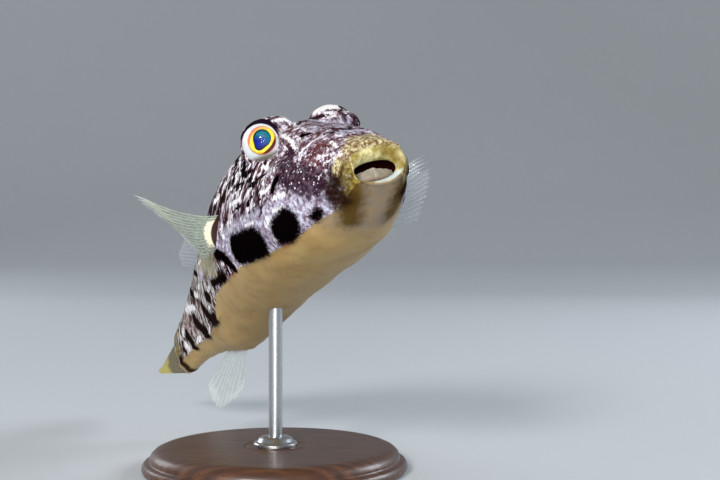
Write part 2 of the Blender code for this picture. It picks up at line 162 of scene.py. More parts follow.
# ---------------------------------------------------------------- the fish's form
@dataclass(frozen=True)
class BodyShape:
    """Spine, sections and eye mounds of the fish, with the sizes of its solids."""

    length: float = 0.120
    squareness: float = 2.25
    tail_end: float = 1.012
    tail_round: float = 0.972    # where the tail's end begins to close on the fin
    tail_thin: float = 0.97      # how far its width has closed at the end, squared
    tail_low: float = 0.12       # and its height
    bend_start: float = 0.38
    tip_start: float = 0.78
    tip_reach: float = 0.30
    side_bend: float = math.radians(-7.8)
    side_tip: float = math.radians(3.4)
    drop_bend: float = math.radians(-15.8)
    drop_tip: float = math.radians(3.1)
    orbit: Triple = (0.221, 0.055, 0.114)
    orbit_radius: float = 0.043
    orbit_blend: float = 0.010
    profile: tuple[tuple[float, float, float, float], ...] = (
        (0.00, 0.031, 0.036, 0.044),
        (0.05, 0.064, 0.064, 0.069),
        (0.12, 0.100, 0.085, 0.093),
        (0.22, 0.136, 0.094, 0.109),
        (0.34, 0.156, 0.099, 0.110),
        (0.46, 0.151, 0.107, 0.101),
        (0.58, 0.125, 0.119, 0.083),
        (0.68, 0.100, 0.123, 0.066),
        (0.78, 0.073, 0.093, 0.048),
        (0.88, 0.053, 0.064, 0.034),
        (1.00, 0.044, 0.048, 0.020),
    )

    def at(self, place: Array, column: int) -> Array:
        """One column of the profile as a smooth curve through its rows.

        Args:
            place: distance from the lips in body lengths.
            column: 1 for the height, 2 for the depth, 3 for the half width.

        Returns:
            The value at each place, in body lengths.
        """
        rows = np.array(self.profile)
        x, y = rows[:, 0], rows[:, column]
        slope = np.gradient(y, x)
        place = np.asarray(place, float)
        i = np.clip(np.searchsorted(x, place) - 1, 0, len(x) - 2)
        h = x[i + 1] - x[i]
        t = (place - x[i]) / h
        return ((2 * t**3 - 3 * t**2 + 1) * y[i] + (t**3 - 2 * t**2 + t) * h * slope[i]
                + (3 * t**2 - 2 * t**3) * y[i + 1] + (t**3 - t**2) * h * slope[i + 1])

    def axes(self, place: Array) -> tuple[Array, Array, Array]:
        """Unit vectors towards the tail, to the left and up at places on the bent spine."""
        along = ease((place - self.bend_start) / (1 - self.bend_start))
        tip = ease((place - self.tip_start) / self.tip_reach)
        side = self.side_bend * along + self.side_tip * tip
        drop = self.drop_bend * along + self.drop_tip * tip
        back = np.stack([-np.cos(side) * np.cos(drop), np.sin(side) * np.cos(drop), np.sin(drop)], -1)
        left = np.stack([np.sin(side), np.cos(side), np.zeros_like(side)], -1)
        return back, left, np.cross(left, back)

    def spine(self, place: Array, steps: int = 48) -> Array:
        """Points of the spine, summed from the lips in short steps."""
        place = np.asarray(place, float)
        step = place / steps
        total = np.zeros(place.shape + (3,))
        for i in range(steps):
            total += self.axes((i + 0.5) * step)[0] * step[..., None] * self.length
        return total

    def locate(self, place: Array, out: Array, up: Array) -> Array:
        """Points in the fish's axes, offset from the spine to the left and up in body lengths.

        Args:
            place: distance along the spine from the lips, in body lengths.
            out: offset to the fish's left.
            up: offset up its back.

        Returns:
            Points in metres, shape (..., 3).
        """
        place, out, up = np.broadcast_arrays(*(np.asarray(v, float) for v in (place, out, up)))
        known, back = np.unique(place.round(7), return_inverse=True)
        middle = self.spine(known)[back].reshape(place.shape + (3,))
        left, above = (v[back].reshape(place.shape + (3,)) for v in self.axes(known)[1:])
        return middle + (left * out[..., None] + above * up[..., None]) * self.length

    def rounded(self, around: Array) -> tuple[Array, Array]:
        """Unit section: share to the left and share up at an angle round from the back."""
        angle = np.radians(90 + np.asarray(around, float))
        power = 2 / self.squareness
        c, s = np.cos(angle), np.sin(angle)
        return np.sign(c) * np.abs(c) ** power, np.sign(s) * np.abs(s) ** power

    def orbit_reach(self, place: Array, out: Array, up: Array) -> Array:
        """How far the eye mounds stand out along rays from the spine, in body lengths, or 0."""
        length = np.hypot(out, up)
        best = np.zeros_like(length)
        for side in Side:
            ahead = self.orbit[0] - place
            middle = (side.value * self.orbit[1] * out + self.orbit[2] * up) / length
            apart = ahead**2 + self.orbit[1] ** 2 + self.orbit[2] ** 2
            inside = middle**2 - apart + self.orbit_radius**2
            hit = (inside > 0) & (middle > 0)
            best = np.where(hit, np.maximum(best, middle + np.sqrt(np.maximum(inside, 0))), best)
        return best

    def section(self, place: Array, around: Array) -> tuple[Array, Array]:
        """Offsets of the skin from the spine, to the left and up, with mounds and closed tail."""
        y, z = self.rounded(around)
        out = self.at(place, 3) * y
        up = np.where(z > 0, self.at(place, 1), self.at(place, 2)) * z
        reach = np.hypot(out, up)
        mound = self.orbit_reach(place, out, up)
        near = np.maximum(self.orbit_blend - np.abs(reach - mound), 0) / self.orbit_blend
        swollen = np.maximum(reach, mound) + near * near * self.orbit_blend / 4
        by_mound = (np.abs(place - self.orbit[0]) < self.orbit_radius) & (z > 0)
        wide = np.where(by_mound, swollen / reach, 1.0)
        shut = np.clip((place - self.tail_round) / (self.tail_end - self.tail_round), 0, 1) ** 2
        return out * wide * np.sqrt(1 - self.tail_thin * shut), up * wide * (1 - self.tail_low * shut)


@dataclass(frozen=True)
class SwimPose:
    """How the fish banks over its stand."""

    shape: BodyShape
    snout_height: float = 0.060
    heading: float = math.radians(-66.3)
    nose_up: float = math.radians(15.6)
    roll: float = math.radians(9.4)
    balance: float = 0.43

    def turn(self) -> Array:
        """Rotation from the fish's axes to the frame's."""
        return np.array(Euler((self.roll, -self.nose_up, self.heading)).to_matrix())

    def snout(self) -> Array:
        """Where the lips are in the frame."""
        over_rod = self.turn() @ self.shape.spine(np.array(self.balance))
        return np.array([-over_rod[0], -over_rod[1], self.snout_height])

    def place(self, points: Array) -> Array:
        """Points of the fish, moved into the frame."""
        return points @ self.turn().T + self.snout()


@dataclass(frozen=True)
class MouthShape:
    """Rolled lips and the pocket behind them, in body lengths."""

    half_width: float = 0.034
    half_height: float = 0.014
    drop: float = 0.012
    aside: float = -0.0045       # to the fish's right
    slant: float = 0.0022        # how much higher the left corner is than the middle
    depth: float = 0.050
    edge_place: float = 0.008
    run: float = 0.030           # how much of the skin's run the lips take
    upper_bulge: float = 0.0120
    lower_bulge: float = 0.0065
    roll: float = 0.0165         # thickness of the upper lip's roll
    crease: float = 0.0045       # depth of the line behind that roll
    pocket: tuple[Triple, ...] = (
        (1.00, 0.012, 0.007),
        (0.98, 0.026, 0.014),
        (0.80, 0.034, 0.020),
        (0.60, 0.038, 0.0225),
        (0.40, 0.040, 0.0235),
        (0.22, 0.039, 0.0215),
    )

    def lips(self, shape: BodyShape, turn: Array, around: Array) -> tuple[Array, Array, Array]:
        """The lips from the mouth's edge (turn 0) round the front to the snout (turn 1).

        Args:
            shape: the body that they end on.
            turn: share of the way round the roll.
            around: angle from the middle of the back, in degrees.

        Returns:
            Place, offset to the left and offset up, in body lengths.
        """
        y, z = shape.rounded(around)
        share = (1 - np.cos(math.pi * turn)) / 2
        edge_out = self.half_width * y + self.aside
        edge_up = self.half_height * z - self.drop + self.slant * y
        rest_out = shape.at(0.0, 3) * y
        rest_up = np.where(z > 0, shape.at(0.0, 1), shape.at(0.0, 2)) * z
        gap = np.hypot(rest_out - edge_out, rest_up - edge_up)
        lower = ease((np.abs(around) - 85) / 35)
        bulge = self.upper_bulge + (self.lower_bulge - self.upper_bulge) * lower
        behind = share * gap - self.roll
        swell = np.sin(math.pi * turn)
        forward = bulge * swell**0.85 - self.crease * (1 - lower) * bell(behind, 0.0026) * swell**0.5
        place = self.edge_place * (1 - share) - forward
        return place, edge_out + share * (rest_out - edge_out), edge_up + share * (rest_up - edge_up)

    def throat(self, shape: BodyShape, around: Array) -> list[tuple[Array, Array, Array]]:
        """Sections of the pocket, from its back wall to just inside the lips."""
        y, z = shape.rounded(around)
        return [(np.full_like(y, depth * self.depth), wide * y + self.aside,
                 high * z - self.drop + self.slant * y)
                for depth, wide, high in self.pocket]


@dataclass(frozen=True)
class EyeSeat:
    """Where one eyeball sits in its mound, how far the lids open, and where the iris looks."""

    side: Side
    shape: BodyShape
    radius: float = 0.036
    seat: float = 0.0118
    gaze: Triple = (0.71, 0.68, -0.17)        # from the mound's middle to the ball's
    opens: Triple = (0.714, 0.685, -0.142)    # through the middle of the lids' opening
    look: Triple = (0.846, 0.53, -0.064)      # through the middle of the iris
    opening: float = 53.0
    behind: float = 8.0          # how much further the lids open behind the ball, in degrees
    snap: float = 1.5
    apron: float = 26.0          # how far ahead of the lids the skin slopes down to them, in degrees
    rim_width: float = 1.3       # half the width of the dark line along the lids, in degrees
    rim_wider: float = 17.0      # how much wider that line is over the eye

    def mirrored(self, direction: Triple) -> Array:
        """A unit vector given for the left eye, turned to this side."""
        return unit(np.array([direction[0], self.side.value * direction[1], direction[2]]))

    def centre(self) -> Array:
        """Middle of the eyeball in the fish's axes."""
        place, out, up = self.shape.orbit
        mound = self.shape.locate(place, self.side.value * out, up)
        return mound + self.mirrored(self.gaze) * self.seat * self.shape.length

    def ball(self) -> float:
        """Radius of the eyeball in metres."""
        return self.radius * self.shape.length

    def frame(self, axis: Array) -> tuple[Array, Array]:
        """Unit vectors across an axis: towards the snout and up the fish's back.

        Args:
            axis: unit vector out of the eye.

        Returns:
            The two vectors, at right angles to the axis and each other.
        """
        up = unit(np.array([0.0, 0.0, 1.0]) - axis * axis[2])
        ahead = np.cross(up, axis)
        return ahead * math.copysign(1.0, ahead[0]), up

    def polar(self, points: Array, axis: Array) -> tuple[Array, Array, Array]:
        """Distance from the ball's middle, angle off an axis, and clock angle round it.

        Args:
            points: positions in the fish's axes.
            axis: unit vector out of the eye.

        Returns:
            Distance in metres, angle off the axis and clock angle in degrees; the clock starts
            towards the snout and runs up the back.
        """
        from_ball = points - self.centre()
        distance = np.linalg.norm(from_ball, axis=-1)
        ahead, up = self.frame(axis)
        off = np.degrees(np.arccos(np.clip(from_ball @ axis / np.maximum(distance, 1e-9), -1, 1)))
        return distance, off, np.degrees(np.arctan2(from_ball @ up, from_ball @ ahead))

    def lid_edge(self, clock: Array) -> Array:
        """Angle off the gaze at which the lids begin, for clock angles in degrees."""
        turn = np.radians(clock)
        return (self.opening + 2.0 * np.cos(turn - math.radians(60)) + 1.2 * np.cos(2 * turn)
                + self.behind * bell(clock_gap(clock, 172), 46))

    def shape_lids(self, points: Array) -> Array:
        """Skin points with the socket sunk under the ball and a soft rim raised round it.

        Args:
            points: positions in the fish's axes.

        Returns:
            The moved positions; the points nearest the lid's edge lie exactly on it.
        """
        axis = self.mirrored(self.opens)
        distance, off, clock = self.polar(points, axis)
        ball, edge = self.ball(), self.lid_edge(clock)
        lid, slope = np.radians(edge), np.radians(off)
        rise = distance * np.cos(slope) - ball * np.cos(lid)
        past = np.degrees((distance * np.sin(slope) - ball * np.sin(lid) - 0.25 * rise) / ball)
        gap = off - edge
        beyond = np.where(rise > 0, np.maximum(gap, past), gap)
        near = (off < 170) & (distance < 3.2 * ball)
        size = np.abs(gap)
        held = np.where(size < self.snap, 0, np.where(
            size < 4 * self.snap, (size - self.snap) * 4 / 3, size)) * np.sign(gap)
        hidden = beyond < -self.snap
        spread = np.maximum(held, 0)
        ceiling = ball + (0.30 + 0.045 * spread + 0.0022 * spread**2) * MM
        least = ball + np.minimum(0.05 + 0.03 * spread, 0.28) * MM
        low = np.minimum(np.maximum(distance, least), ceiling)
        fade = ease((170 - off) / 25) * ease((2.8 * ball - distance) / (0.9 * ball))
        low = distance + (low - distance) * fade + 0.16 * MM * bell(held - 5.0, 4.0)
        close = ease((self.apron - beyond) / (self.apron - self.snap))
        ahead_of = ease(rise / (0.15 * ball))
        turn = edge + held + (off + (edge - off) * close - edge - held) * ahead_of
        reach = low + (distance + (ball - distance) * close - low) * ahead_of
        reach = np.where(hidden, 0.62 * ball, reach)
        turn = np.radians(np.where(hidden, np.minimum(off, edge - self.snap), turn))
        clock = np.radians(clock)
        ahead, up = self.frame(axis)
        around = ahead * np.cos(clock)[:, None] + up * np.sin(clock)[:, None]
        moved = axis * np.cos(turn)[:, None] + around * np.sin(turn)[:, None]
        return np.where(near[:, None], self.centre() + moved * reach[:, None], points)

    def lid_line(self, points: Array) -> Array:
        """The dark line along the lids' upper edge, partly the skin's own dark edge and partly painted
        shade in the lid's crease, as a field that is 0.5 where it ends.
        """
        distance, off, clock = self.polar(points, self.mirrored(self.opens))
        beyond = off - self.lid_edge(clock)
        width = self.rim_width + self.rim_wider * bell(clock_gap(clock, 70), 40)
        drawn = ease((80 - clock_gap(clock, 66)) / 25)
        inside = np.clip(0.5 + (width - np.abs(beyond)) / 3.0, 0, 1)
        return inside * drawn * (distance < self.ball() + 1.5 * MM)


@dataclass(frozen=True)
class Stroke:
    """One marking: a path over the skin with a half width and edge softness in body lengths."""

    path: Path
    width: float
    soft: float
    only: Side | None = None


@dataclass(frozen=True)
class Fold:
    """One raised or sunken line of the skin: a path, its width and its height in body lengths."""

    path: Path
    width: float
    height: float
    only: Side | None = None


def line(width: float, soft: float, *path: tuple[float, float], only: Side | None = None) -> Stroke:
    """A stroke, with its sizes and runs in thousandths of the body's length.

    Args:
        width: distance from the path to the stroke's edge.
        soft: half the width of the blur at that edge.
        path: (run, around) points.
        only: the one side that it is on, or None for both.

    Returns:
        The stroke.
    """
    return Stroke(tuple((run / 1000, around) for run, around in path), width / 1000, soft / 1000, only)


def fold(width: float, height: float, *path: tuple[float, float], only: Side | None = None) -> Fold:
    """A fold, with its sizes and runs in thousandths of the body's length.

    Args:
        width: distance from the path to where the fold fades out.
        height: how far it stands out, negative where it is sunk.
        path: (run, around) points.
        only: the one side that it is on, or None for both.

    Returns:
        The fold.
    """
    return Fold(tuple((run / 1000, around) for run, around in path), width / 1000, height / 1000, only)


def sand_and_rust() -> dict[Mark, tuple[Stroke, ...]]:
    """Warm markings: red-brown patches of the forehead and the speckled top of the snout."""
    return {
        Mark.RUST: (
            line(10, 6, (64, 42), (46, 45), (28, 38)), line(6.5, 5, (50, 58), (58, 66), (50, 73)),
            line(5, 3, (164, -26), (160, -31), only=RIGHT),
            line(4.5, 3, (156, -5), (152, -12), only=RIGHT),
            line(5, 4, (150, 24), (165, 20), only=RIGHT), line(5, 4, (75, 27), (80, 34)),
            line(4, 4, (88, 45), (100, 41)), line(2.8, 2, (120, 27), (140, 23), (160, 17), (186, 13)),
            line(2, 2, (135, 29), (150, 23), only=RIGHT), line(2, 2, (118, 7), (136, 1), only=RIGHT),
            line(2, 6, (310, 78), (345, 77), (385, 75)), line(14, 14, (800, 101), (835, 96), (862, 82)),
            line(6, 6, (705, 93), (730, 96)), line(3.5, 4, (140, 127), (195, 127)),
            line(4, 4, (390, 113), (440, 112)), line(5, 5, (715, 125), (745, 126)),
        ),
        Mark.SAND: (
            line(17, 9, (-14, 0), (4, 22), (-2, 48)), line(17, 9, (-14, 0), (4, -22), (-2, -48)),
            line(12, 8, (10, 0), (16, 16)), line(8, 6, (13, 76), (18, 88)),
        ),
    }


def pale_marks() -> dict[Mark, tuple[Stroke, ...]]:
    """White branches of the forehead, streaks behind the eye and the lilac band under it."""
    return {
        Mark.PALE: (
            # branching lines between the eye and the mouth
            line(1.6, 2.2, (62, 24), (70, 34), (76, 45), (85, 57)), line(0.8, 1.4, (85, 57), (83, 68)),
            line(1, 1.6, (85, 57), (93, 51), (100, 49)),
            line(1.2, 1.8, (100, 53), (103, 46), (112, 42), (125, 35)),
            line(0.9, 1.4, (97, 39), (101, 46), (107, 50)), line(3.2, 3, (116, 42), (128, 37)),
            line(3, 3, (128, 36), (150, 31), (168, 26)), line(1.2, 1.8, (110, 33), (124, 29)),
            line(1.4, 1.8, (140, 42), (152, 37)), line(1.8, 3, (116, 21), (135, 17), (160, 11)),
            line(1, 1.4, (94, 22), (114, 20)), line(2.2, 3, (36, 15), (43, 21)),
            line(6.6, 5, (8, 58), (14, 66), (17, 73)), line(3, 4, (24, 44), (40, 36)),
            line(2, 2.4, (22, 58), (36, 63), (50, 61)), line(0.8, 1.4, (46, 66), (58, 63)),
            line(1.2, 1.8, (26, 70), (36, 74)), line(1, 1.8, (40, 84), (50, 90)),
            line(0.8, 1.4, (50, 78), (52, 70)),
            # crests of the eyes' mounds
            line(4.2, 2.6, (186, 22), (190, 15), (197, 8), only=RIGHT),
            line(7.2, 5, (209, -15), (203, -19), (197, -24), only=RIGHT),
            line(3, 4, (191, -16), (187, -20), only=RIGHT),
            # the next line is a painted highlight along the upper edge of the snout
            line(2.2, 6, (34, -12), (20, -27), (-2, -40), only=RIGHT),
            line(1.6, 2, (184, -29), (194, -33), only=RIGHT),
            # patches and streaks behind and under the eye
            line(3.4, 3.4, (152, 78), (166, 80), (184, 79)),
            line(2.4, 3, (172, 66), (177, 72), (170, 78)), line(2.2, 2, (180, 60), (194, 60)),
            line(2.6, 2, (226, 74), (240, 77)), line(3.4, 3, (262, 75), (312, 74)),
            line(2, 2.4, (262, 70), (300, 69)), line(3, 3, (288, 62), (330, 66)),
            line(2.6, 2, (262, 58), (275, 50), (305, 38)), line(5, 4, (340, 42), (336, 54), (360, 60)),
            line(1.8, 2.4, (205, 84), (240, 84)), line(2.2, 2.6, (225, 92), (260, 90)),
            line(2.6, 3, (130, 96), (160, 94)), line(5, 3, (378, 61), (398, 63)),
            line(3, 3, (120, 88), (150, 87)), line(5.5, 3, (178, 97), (190, 99)),
            line(2.6, 3, (314, 83), (336, 82)), line(3.6, 3, (368, 86), (377, 86)),
            line(1.6, 1.4, (372, 107), (392, 106)), line(4.5, 3, (412, 79), (428, 81)),
            # flank of the tail
            line(3.6, 2, (634, 108), (654, 107)), line(3.6, 2, (636, 113), (654, 113)),
            line(4, 3, (575, 98), (604, 98)), line(3.4, 3, (600, 75), (642, 71)),
            line(4, 3, (660, 87), (676, 86)), line(6.2, 4, (702, 89), (724, 83)),
            line(5.2, 4, (758, 91), (772, 87), (792, 82)),
            line(10.5, 5, (804, 80), (817, 71), (830, 60)), line(4.8, 4, (706, 118), (724, 124)),
            line(6.2, 4, (806, 121), (826, 122)), line(7, 4, (904, 106), (896, 117)),
            line(5, 4, (888, 86), (896, 91)),
        ),
        Mark.CAP: (
            line(5.8, 4, (210, -13), (204, -18), (198, -23), only=RIGHT),
            line(4.6, 4, (203, -12), (197, -18), (193, -24), only=RIGHT),
            line(1.8, 3, (190, -17), (186, -20), only=RIGHT),
            line(3, 3, (188, 20), (191, 14), (197, 8), only=RIGHT),
            # the next line is a painted highlight along the upper edge of the snout
            line(1.6, 4, (30, -15), (18, -28), (-2, -40), only=RIGHT),
            line(1.8, 3, (128, 35), (148, 31), only=RIGHT),
        ),
        Mark.LILAC: (
            line(9.5, 7, (45, -14), (50, 0), (46, 12)),
            line(3, 3, (76, 3), (88, 0), (102, -5), only=RIGHT),
            line(3.6, 3, (98, 17), (115, 12), (140, 5), only=RIGHT),
            line(4.8, 5, (58, 22), (68, 34), (74, 44)),
            line(4.5, 3, (180, -31), (170, -34), only=RIGHT),
            line(11, 6, (184, -8), (176, -20), (172, -30), only=RIGHT),
            line(5, 4, (135, 0), (150, -8), only=RIGHT), line(11, 8, (60, 104), (56, 118), (62, 132)),
            line(17, 10, (72, 100), (110, 104), (130, 106)), line(12, 8, (105, 118), (118, 122)),
            line(15, 10, (90, 97), (140, 93), (200, 93), (260, 90), (340, 88), (400, 88)),
            line(15, 8, (196, 100), (206, 112), (212, 122)),
            line(8, 6, (364, 88), (362, 98), (352, 110)), line(5, 4, (290, 113), (310, 111)),
            line(8, 6, (610, 85), (640, 82)),
        ),
    }


def dark_marks() -> dict[Mark, tuple[Stroke, ...]]:
    """Blotches along the belly's edge, streaks behind the eye and the dotted purple cheek."""
    return {
        Mark.DARK: (
            # the row of blotches along the edge of the belly
            line(8.2, 10, (76, 121), (88, 122)), line(23.5, 10, (138, 110), (164, 114)),
            line(26.5, 10, (243, 108), (285, 104), (325, 100)),
            line(9.5, 5, (425, 90), (400, 96), (386, 104), (376, 110)),
            line(6.5, 5, (445, 108), (500, 104), (548, 99)), line(11, 6, (614, 103), (630, 99)),
            line(13.5, 8, (636, 119), (664, 117), (684, 106), (694, 100)),
            line(15, 9, (748, 122), (766, 116), (780, 105), (786, 98)),
            line(12.5, 8, (858, 124), (862, 110), (872, 98)),
            line(4.8, 4, (922, 96), (927, 108), (919, 119)),
            # the far eye's mound
            line(2.6, 3, (196, -27), (204, -30), only=RIGHT),
            line(1.6, 2, (150, 2), (148, -12), (150, -22), only=RIGHT),
            line(1.4, 1.4, (184, 83), (198, 84)), line(1.4, 1.4, (189, 90), (202, 91)),
            line(1.4, 1.4, (228, 86), (236, 86)), line(5, 3, (134, 74), (144, 78), (149, 82)),
            # forehead, nostrils and tail
            line(4.2, 3, (100, 25), (108, 28), (116, 27)), line(2.4, 2, (88, 8), (101, 9), only=RIGHT),
            line(1.8, 2, (66, 3), (69, 3), only=RIGHT), line(1.6, 1.4, (50, 20), (52, 20)),
            line(5.5, 4, (655, 78), (680, 70), (702, 60)),
            line(7.5, 4, (744, 79), (760, 68), (768, 58)),
        ),
        Mark.STREAK: (
            # behind and under the eye
            line(9.5, 5, (222, 67), (246, 60), (258, 52), (270, 44)), line(4, 4, (255, 66), (290, 64)),
            line(7.5, 5, (296, 60), (302, 52), (315, 42), (327, 32)),
            line(2.4, 3, (180, 71), (205, 72)), line(2.8, 3, (184, 76), (200, 77)),
            line(2.8, 3, (203, 70), (223, 72)), line(3.6, 3, (206, 77), (221, 80), (236, 81)),
            line(3, 3, (225, 71), (245, 70)), line(2.2, 3, (250, 79), (300, 79)),
            line(2.6, 3, (180, 64), (200, 67)),
            # the back
            line(15, 8, (470, 40), (490, 10), (480, 0)), line(14, 8, (600, 44), (615, 14), (620, 0)),
            line(12, 7, (830, 34), (850, 0)), line(9, 6, (930, 50), (940, 0)),
            line(13, 8, (300, 8), (330, 0)),
        ),
        Mark.BROWN: (
            line(18.5, 12, (24, 98), (34, 107), (38, 118), (34, 128)),
            line(10.5, 6, (345, 62), (362, 66), (380, 70), (392, 74)),
            line(1.6, 1.6, (152, 72), (167, 72)), line(3, 3, (54, 22), (63, 16), (70, 20)),
            line(4, 3, (56, -1), (66, -5), (82, -9)), line(13, 8, (966, 118), (970, 142), (976, 168)),
            line(12, 6, (440, 106), (470, 103)), line(15, 10, (440, 62), (520, 40), (560, 20)),
            line(15, 10, (700, 40), (740, 10)),
        ),
        Mark.PLUM: (
            line(5.6, 4, (214, -5), (207.5, -11), only=RIGHT),
            line(7.4, 4, (200, -37), (188, -38), (176, -37), only=RIGHT),
            line(3, 3, (184, -12), (178, -16), only=RIGHT),
            line(3.4, 3, (182, -28), (176, -33), only=RIGHT),
            line(22.5, 12, (60, 90), (86, 84), (112, 74), (118, 62)), line(11, 8, (108, 56), (126, 46)),
            line(4, 3, (240, 75), (256, 75)), line(4.6, 3, (246, 80), (258, 80)),
            line(3.4, 3, (164, 85), (188, 88)), line(7, 5, (300, 62), (325, 68)),
        ),
    }


def green_marks() -> dict[Mark, tuple[Stroke, ...]]:
    """Olive areas: the mouth's corners, two chin streaks, the armpit and the tail's root; painted shade
    on the lip's far end and along its edge.
    """
    return {
        Mark.SMOOTH: (
            line(19, 16, (500, 91), (555, 85), (600, 74)),
        ),
        Mark.MUSTARD: (
            # painted shade: darker olive on the far end of the upper lip and along the line where the
            # lips meet the snout
            line(8, 8, (-19, -24), (-19, -46), (-21, -68), (-20, -92), only=RIGHT),
            line(2, 6, (-12, -20), (-13, -45), only=RIGHT), line(1.6, 3, (0, 30), (-1, 60)),
            line(1.6, 3, (0, -10), (-1, -60)),
        ),
        Mark.OLIVE: (
            line(9, 8, (4, 88), (12, 96), (14, 108)),
            line(16.5, 13, (6, 126), (18, 139), (34, 148), (60, 156)),
            line(7, 6, (-4, 92), (4, 104), (8, 118)), line(10, 11, (22, -126), (40, -140), (54, -147)),
            line(8, 16, (445, 90), (520, 88), (490, 97)), line(12, 8, (956, 92), (1010, 100)),
            line(20, 10, (950, 40), (1010, 30)),
        ),
    }


def folds() -> tuple[Fold, ...]:
    """Raised and sunken lines of the skin, each made on both sides unless it is given one side."""
    return (
        fold(10, 4.2, (8, 92), (22, 103)),       # fleshy corner of the mouth
        fold(2.4, -2.6, (-4, 72), (-3, 98), (-2, 126)),
        fold(3, -1.2, (30, 74), (36, 96), (34, 120)),
        fold(4.6, 4, (50, 20), (50, 21)),        # nostril
        fold(1.8, -3.4, (51, 20), (51, 21)),
        fold(3.4, -4.8, (374, 70), (387, 86), (381, 101)),   # gill opening
        fold(6, 2.4, (362, 70), (375, 86), (369, 101)),
        fold(15, 6, (396, 62), (412, 75), (434, 91)),     # root of the pectoral fin
        fold(12, -1.8, (100, 128), (200, 131), (300, 124)),
        fold(5, 3, (600, 122), (800, 126), (1000, 122)),  # fold along the tail
        fold(7, 2.8, (680, 176), (690, 176)),      # vent
        fold(2.4, -3, (684, 180), (688, 180)),
        fold(19, -11.5, (120, 47), (140, 49), (162, 52), (180, 60)),   # hollow ahead of the eye
        fold(20, -4.6, (195, 24), (235, 32), only=RIGHT),     # crest of the near mound
        fold(21, 5.2, (205, 14), (210, 26), only=LEFT),       # crest of the far mound
        fold(19, 6.2, (192, -4), (196, 12), only=RIGHT),      # forehead between them
    )


BELLY_EDGE: Path = (
    (-0.01, 126), (0.00, 130), (0.05, 134), (0.08, 128), (0.12, 127), (0.17, 127), (0.20, 125),
    (0.25, 121), (0.30, 118), (0.36, 113), (0.43, 113), (0.50, 111), (0.56, 109), (0.62, 118),
    (0.66, 121), (0.72, 126), (0.80, 128), (0.90, 126), (1.02, 116))


@dataclass
class SkinChart:
    """The skin's points, flattened, with the means to measure how far each is from a path."""

    shape: BodyShape
    mouth: MouthShape
    run: Array
    around: Array
    spots: Array = field(init=False)

    def __post_init__(self) -> None:
        """Work out where each point lies before folds and lids."""
        self.spots = self.straight(self.run, self.around)

    def straight(self, run: Array, around: Array) -> Array:
        """Points of the skin on an unbent spine, in body lengths.

        Args:
            run: distance from the lips in body lengths, negative inside them.
            around: angle from the middle of the back, in degrees.

        Returns:
            Place, offset to the left and offset up, shape (..., 3).
        """
        place = np.maximum(run, 0.0)
        body = np.stack([place, *self.shape.section(place, around)], -1)
        turn = np.clip(1 + run / self.mouth.run, 0, 1)
        lips = np.stack(self.mouth.lips(self.shape, turn, around), -1)
        return np.where((run < 0)[..., None], lips, body)

    def distance(self, path: Path, reach: float) -> Array:
        """How far each point lies from a path, in body lengths, or a large number past reach.

        Args:
            path: (run, around) points.
            reach: distance past which the answer doesn't matter.

        Returns:
            One distance for each point.
        """
        nodes = []
        for (run_a, around_a), (run_b, around_b) in zip(path, path[1:]):
            pieces = max(1, math.ceil(abs(run_b - run_a) / 0.02), math.ceil(abs(around_b - around_a) / 8))
            for share in np.linspace(0, 1, pieces + 1)[:-1]:
                nodes.append((run_a + (run_b - run_a) * share, around_a + (around_b - around_a) * share))
        nodes.append(path[-1])
        track = self.straight(*np.array(nodes, float).T)
        found = np.full(len(self.spots), 9.0)
        close = np.all((self.spots > track.min(0) - reach) & (self.spots < track.max(0) + reach), axis=1)
        spots = self.spots[close]
        best = found[close]
        for start, end in zip(track, track[1:]):
            stretch = end - start
            share = np.clip((spots - start) @ stretch / max(stretch @ stretch, 1e-12), 0, 1)
            best = np.minimum(best, np.linalg.norm(spots - start - share[:, None] * stretch, axis=1))
        found[close] = best
        return found

    def sides(self, path: Path, only: Side | None) -> list[Path]:
        """A path as given for the right side, and its mirror image for the left."""
        mirror = tuple((run, -around) for run, around in path)
        return {None: [path, mirror], RIGHT: [path], LEFT: [mirror]}[only]

    def marked(self, strokes: tuple[Stroke, ...]) -> Array:
        """A field that is 0.5 on the edges of the strokes and 1 inside them."""
        total = np.zeros(len(self.spots))
        for stroke in strokes:
            for path in self.sides(stroke.path, stroke.only):
                distance = self.distance(path, stroke.width + stroke.soft)
                inside = 0.5 + (stroke.width - distance) / (2 * stroke.soft)
                total = np.maximum(total, np.clip(inside, 0, 1))
        return total

    def raised(self, lines: tuple[Fold, ...]) -> Array:
        """How far the folds lift the skin at each point, in body lengths."""
        total = np.zeros(len(self.spots))
        for ridge in lines:
            for path in self.sides(ridge.path, ridge.only):
                total += ridge.height * bell(self.distance(path, 3 * ridge.width), ridge.width)
        return total


# ---------------------------------------------------------------- shader trees
class Wire:
    """A node's output in a tree. Sums with numbers and other wires add the nodes that work them out."""

    def __init__(self, tree: "Tree", socket: bpy.types.NodeSocket) -> None:
        """Keep the socket and the tree it is in."""
        self.tree = tree
        self.socket = socket

    def __add__(self, other: "Feed") -> "Wire":
        """This plus the other."""
        return self.tree.math("ADD", self, other)

    def __radd__(self, other: float) -> "Wire":
        """The number plus this."""
        return self.tree.math("ADD", other, self)

    def __sub__(self, other: "Feed") -> "Wire":
        """This less the other."""
        return self.tree.math("SUBTRACT", self, other)

    def __rsub__(self, other: float) -> "Wire":
        """The number less this."""
        return self.tree.math("SUBTRACT", other, self)

    def __mul__(self, other: "Feed") -> "Wire":
        """This times the other."""
        return self.tree.math("MULTIPLY", self, other)

    def __rmul__(self, other: float) -> "Wire":
        """The number times this."""
        return self.tree.math("MULTIPLY", other, self)

    def __truediv__(self, other: "Feed") -> "Wire":
        """This divided by the other."""
        return self.tree.math("DIVIDE", self, other)


Feed = Wire | bpy.types.NodeSocket | float | tuple[float, ...]


